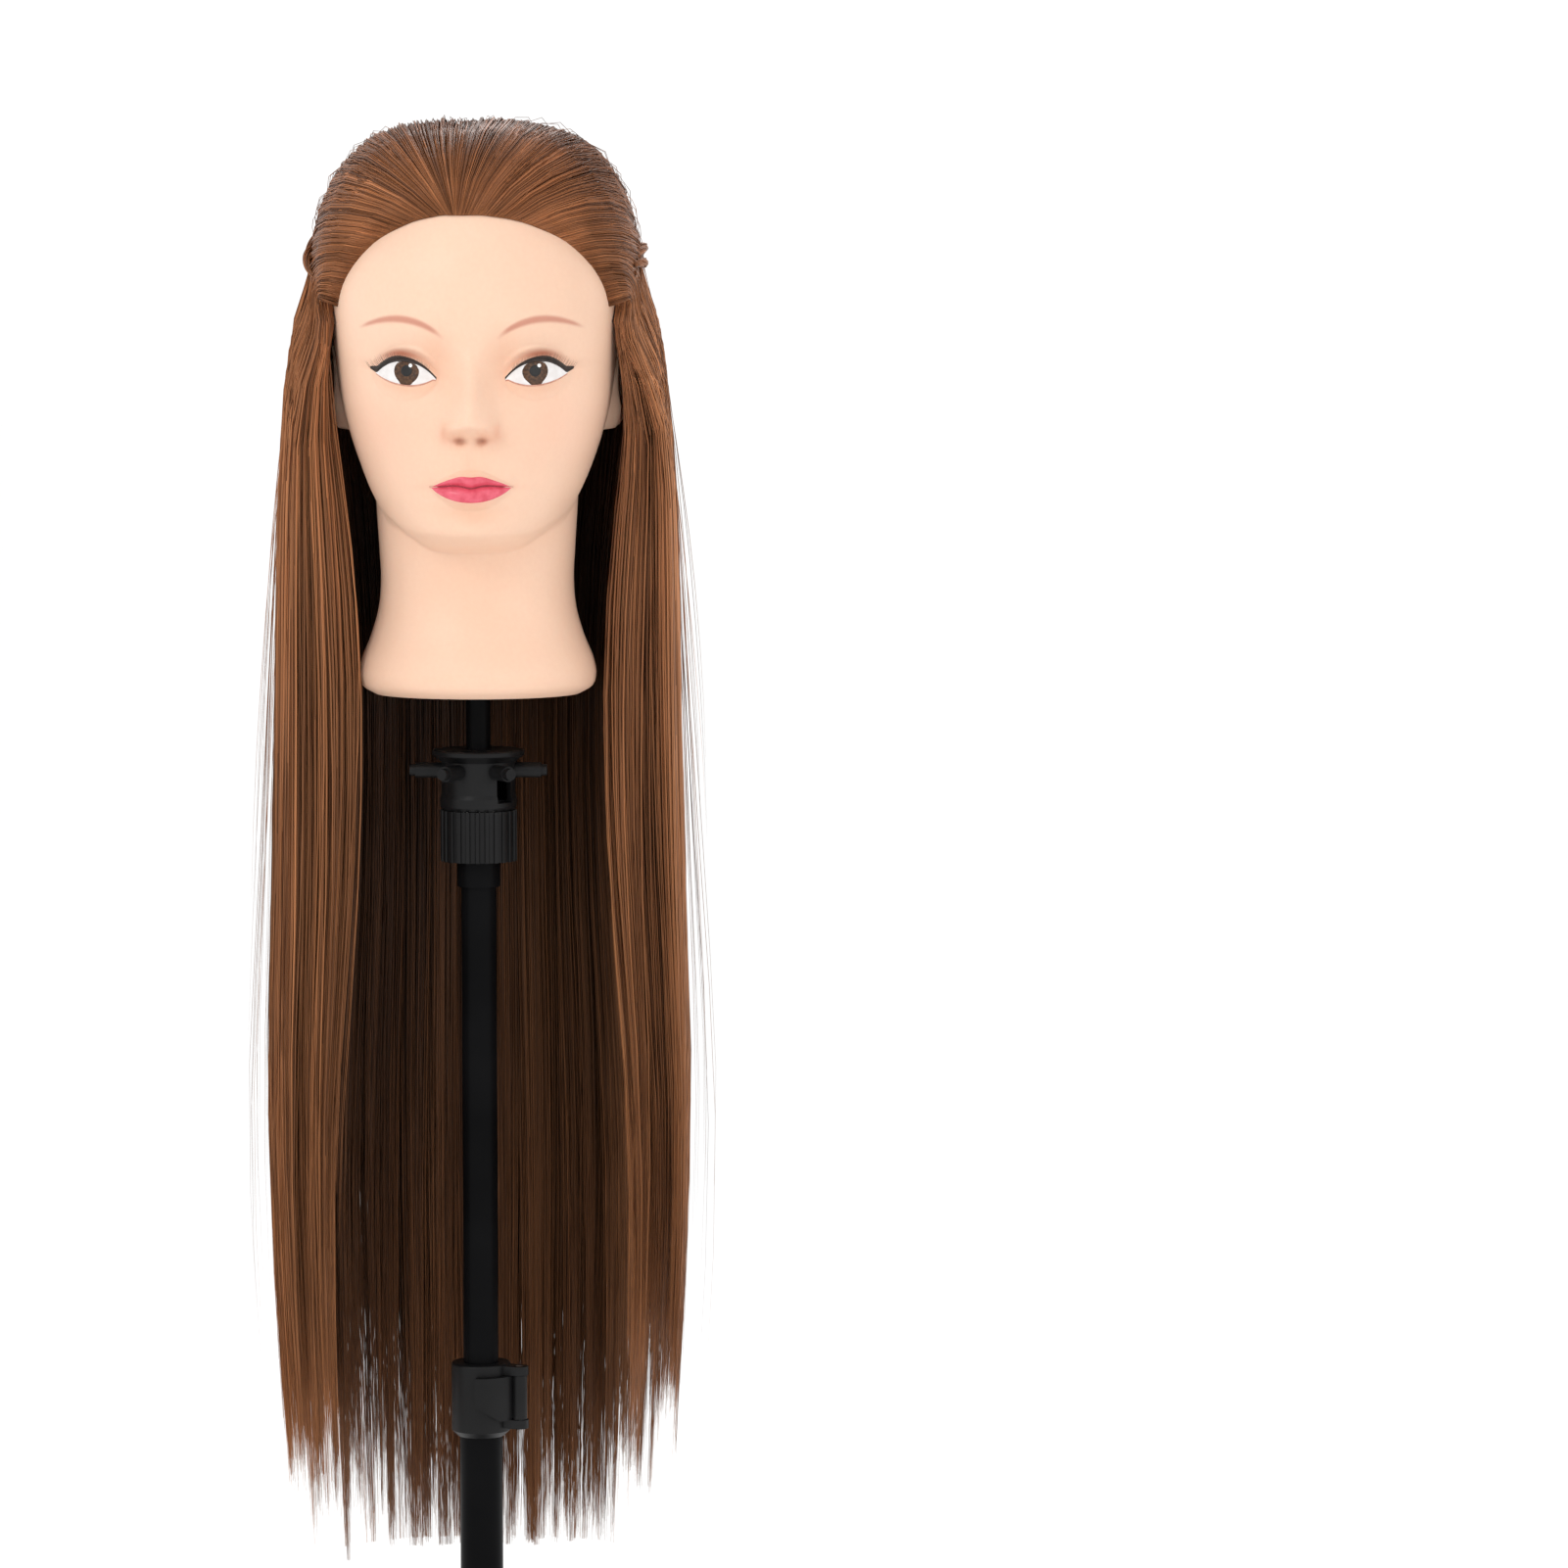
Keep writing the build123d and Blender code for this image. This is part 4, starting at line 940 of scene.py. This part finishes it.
def bundle(centre, radius, count, twist, seed):
    """Paths packed in a round bundle that follows a centre line and turns about it."""
    local = np.random.default_rng(seed)
    tangent = unit(np.gradient(centre, axis=0))
    ref = np.array([0.31, 0.17, 0.93]) if abs(tangent[0, 2]) < 0.8 else np.array([0, 1.0, 0.1])
    a = unit(np.cross(tangent, ref))
    b = np.cross(tangent, a)
    r = np.sqrt(local.uniform(0.25, 1, count)) * radius.max()
    angle = local.uniform(0, TAU, count)
    swirl = angle[:, None] + twist * np.linspace(0, 1, len(centre))[None, :]
    reach = r[:, None] * (radius / radius.max())[None, :]
    return (centre[None] + a[None] * (np.cos(swirl) * reach)[..., None]
            + b[None] * (np.sin(swirl) * reach)[..., None])


def bundled_object(name, bundles, taper):
    """One mesh of the strands of several bundles."""
    paths = np.concatenate(bundles)
    return strand_object(name, paths, np.full(len(paths), BUNDLE_STRAND), MAT["hair"], 3, taper)


def resample(points, count):
    """Evenly spaced points along a polyline."""
    step = np.r_[0, np.cumsum(np.linalg.norm(np.diff(points, axis=0), axis=1))]
    at = np.linspace(0, step[-1], count)
    return np.stack([np.interp(at, step, points[:, i]) for i in range(3)], axis=-1)


BUNDLE_STRAND = 0.34  # radius of a strand in the twists and the braid
PER_BUNDLE = 75
TIE_Y, TIE_Z = 99.5, 1134.0


def build_twist(side):
    """Two bundles wound round each other, from the temple to the tie at the back."""
    tag = "left" if side < 0 else "right"
    turn = np.linspace(TEMPLE + 0.12, math.pi - 0.02, 80)
    share = np.linspace(0, 1, 80)
    z = 1119 + 27 * np.sin(share * 2.15) / math.sin(2.15) * 0.78
    rise = 9.0 + 0.5 * np.sin(turn * 9)
    e = np.arcsin((z - DOME_Z) / (SKULL_HIGH + 1 + rise))
    way = np.stack([side * np.sin(turn) * np.cos(e), -np.cos(turn) * np.cos(e), np.sin(e)], -1)
    steps = 150
    route = resample(dome_point(way, rise), steps)
    tangent = unit(np.gradient(route, axis=0))
    up = unit(np.cross(tangent, np.cross(np.array([0, 0, 1.0]), tangent)))
    out = np.cross(tangent, up)
    phase = np.linspace(0, TAU * 3, steps)
    radius = 2.7 * np.minimum(1, 0.5 + 4 * np.linspace(0, 1, steps))
    bundles = []
    for k in (0, 1):
        c, s = np.cos(phase + k * math.pi), np.sin(phase + k * math.pi)
        middle = route + up * (c * 2.5)[:, None] + out * (s * 2.2)[:, None]
        bundles.append(bundle(middle, radius, PER_BUNDLE, TAU * 2.5, 11 + k + (5 if side > 0 else 0)))
    rope = bundled_object(f"twist_{tag}_strands", bundles, 0.02)
    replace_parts(rope, f"twist_{tag}")


BRAID_TOP, BRAID_END, TAIL_END = 1132.0, 880.0, 836.0
BRAID_PITCH = 39.0  # height of one full turn of the plait
BRAID_Z = (836, 900, 1000, 1060, 1085, 1105, 1120, 1137)
BRAID_Y = (116, 117, 117, 115.5, 112, 107, 103, 99.5)


def braid_line(z):
    """Centre line of the braid: down the back of the head and the hair, with a slow drift."""
    y = curve_through(BRAID_Z, BRAID_Y, z)
    x = 1.5 * np.sin((z - TAIL_END) / 90.0) - 2.5 * smooth(1137 - z, 60, 240)
    return np.stack([x, y, z], -1)


def build_braid():
    """Three bundles plaited together, a dark core behind them in painted shade, and the loose tail."""
    t = np.linspace(0, 1, 260)
    line = braid_line(BRAID_TOP + (BRAID_END - BRAID_TOP) * t)
    turns = (BRAID_TOP - BRAID_END) / BRAID_PITCH
    size = 1 - 0.28 * t
    bundles = []
    for k in range(3):
        a = TAU * (turns * t + k / 3)
        middle = line + np.stack([4.7 * size * np.sin(a), 2.3 * size * np.sin(2 * a), 0 * t], -1)
        bundles.append(bundle(middle, 2.65 * size, PER_BUNDLE, TAU * 2.5, 31 + k))
    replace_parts(bundled_object("braid_strands", bundles, 0.01), "braid")
    # painted shade: a dark flat rod behind the plait darkens the gaps between its bundles
    core = line[::8] - np.array([0, 1.6, 0])
    strand_object("braid_painted_shade", core[None], np.array([2.2]), MAT["under"], 12, 0.05, 2.6)
    t = np.linspace(0, 1, 24)
    tail_line = braid_line(np.linspace(BRAID_END + 1, TAIL_END, 24))
    tail = bundle(tail_line, 2.4 * (1 - 0.75 * t) + 1.2 * bump(t, 0.3, 0.2), 90, 0.6, 41)
    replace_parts(bundled_object("braid_tail_strands", [tail], 0.4), "braid_tail")


def build_tie(name, centre, major, node):
    """An elastic wound three times round the hair."""
    minor, turns = 0.7, 3
    t = np.linspace(0, 1, 110)
    a = TAU * turns * t
    path = np.stack([centre[0] + major * np.cos(a), centre[1] + major * np.sin(a),
                     centre[2] + (t - 0.5) * minor * 2 * turns * 0.9], -1)
    tie = strand_object(name, path[None], np.array([minor]), MAT["elastic"], 10, 0.01)
    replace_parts(tie, node)


def build_flyaways():
    """A few single hairs that stand off the mass."""
    count = 90
    turn = rng.uniform(TEMPLE, TAU - TEMPLE, count)
    tips = rng.uniform(520, 900, count)
    paths = flow_lines(turn, rng.uniform(0, 0.5, count), rng.uniform(9, 12, count), np.zeros(count),
                       tips, SAMPLES, rng.normal(0, 2, count), 1.0)
    t = np.linspace(0, 1, SAMPLES)[None, :, None]
    paths = paths + unit(paths * LEVEL) * smooth(t, 0.55, 1.0) * rng.uniform(1, 14, (count, 1, 1))
    strand_object("hair_flyaways", paths, np.full(count, 0.16), MAT["hair"])


build_twist(-1)
build_twist(1)
build_braid()
build_tie("tie_top_elastic", (0, TIE_Y, TIE_Z), 3.6, "hair_tie_top")
build_tie("tie_end_elastic", braid_line(np.array([BRAID_END]))[0], 2.6, "hair_tie_end")
build_flyaways()
for piece_name, cad_node in (("hair_right_side_outer_1", "hair_right"),
                             ("hair_left_side_outer_1", "hair_left"),
                             ("hair_middle_outer_1", "hair_back"),
                             ("hair_middle_outer_2", "hair_crown")):
    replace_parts(bpy.data.objects[piece_name], cad_node)


# ------------------------------------------------------------------ floor, light and camera
FLOOR_RADIUS, FLOOR_GAP = 40, 0.0005
WORLD_STRENGTH = 1.05
KEY, FILL, RIM = 14, 4, 20  # watts
CAMERA_DISTANCE = 3.0
CAMERA_PITCH, CAMERA_AZIMUTH = math.radians(5.0), math.radians(2.0)
FRAME_WIDTH = 0.8005  # metres across the picture at the pole
AIM_RIGHT, AIM_HEIGHT = 0.156, 0.854
SENSOR = 36


def build_stage():
    bpy.ops.mesh.primitive_circle_add(vertices=96, radius=FLOOR_RADIUS, fill_type="NGON",
                                      location=(0, 0, -FLOOR_GAP))
    floor = bpy.context.object
    floor.name = "studio_floor"
    s = Shader("studio_floor", Specular_IOR_Level=0.1)
    s.two_tones(s.noise(0.8), (0.955, 0.955, 0.955), (0.97, 0.97, 0.97), 0.0, 1.0)
    s.to("Roughness", s.spread(s.noise(6), 0.85, 0.95))
    floor.data.materials.append(s.material)


def area_light(name, place, target, size, power):
    data = bpy.data.lights.new(name, "AREA")
    data.shape = "RECTANGLE"
    data.size, data.size_y = size
    data.energy = power
    light = bpy.data.objects.new(name, data)
    bpy.context.scene.collection.objects.link(light)
    light.location = place
    light.rotation_mode = "QUATERNION"
    light.rotation_quaternion = (Vector(target) - Vector(place)).to_track_quat("-Z", "Y")


def build_light():
    world = bpy.data.worlds.new("studio")
    bpy.context.scene.world = world
    world.use_nodes = True
    sky = world.node_tree.nodes["Background"].inputs
    sky["Color"].default_value = (1, 1, 1, 1)
    sky["Strength"].default_value = WORLD_STRENGTH
    head = (POLE[0], POLE[1], (NECK_BASE + 120) * MM)
    area_light("key", (-1.5, POLE[1] - 2.2, 2.3), head, (1.0, 1.0), KEY)
    area_light("fill", (1.9, POLE[1] - 1.8, 1.5), head, (1.5, 1.5), FILL)
    area_light("rim", (0.6, POLE[1] + 2.2, 2.6), head, (1.2, 0.8), RIM)


def build_camera():
    data = bpy.data.cameras.new("camera")
    camera = bpy.data.objects.new("camera", data)
    bpy.context.scene.collection.objects.link(camera)
    data.sensor_width = SENSOR
    data.lens = SENSOR * CAMERA_DISTANCE / FRAME_WIDTH
    data.clip_start, data.clip_end = 0.05, 100
    aim = (POLE[0] + AIM_RIGHT * math.cos(CAMERA_AZIMUTH), POLE[1], AIM_HEIGHT)
    camera.location = (POLE[0] + CAMERA_DISTANCE * math.sin(CAMERA_AZIMUTH),
                       POLE[1] - CAMERA_DISTANCE * math.cos(CAMERA_PITCH),
                       AIM_HEIGHT + CAMERA_DISTANCE * math.sin(CAMERA_PITCH))
    camera.rotation_mode = "QUATERNION"
    camera.rotation_quaternion = (Vector(aim) - camera.location).to_track_quat("-Z", "Y")
    bpy.context.scene.camera = camera


build_stage()
build_light()
build_camera()
bpy.context.scene.view_settings.view_transform = "Standard"
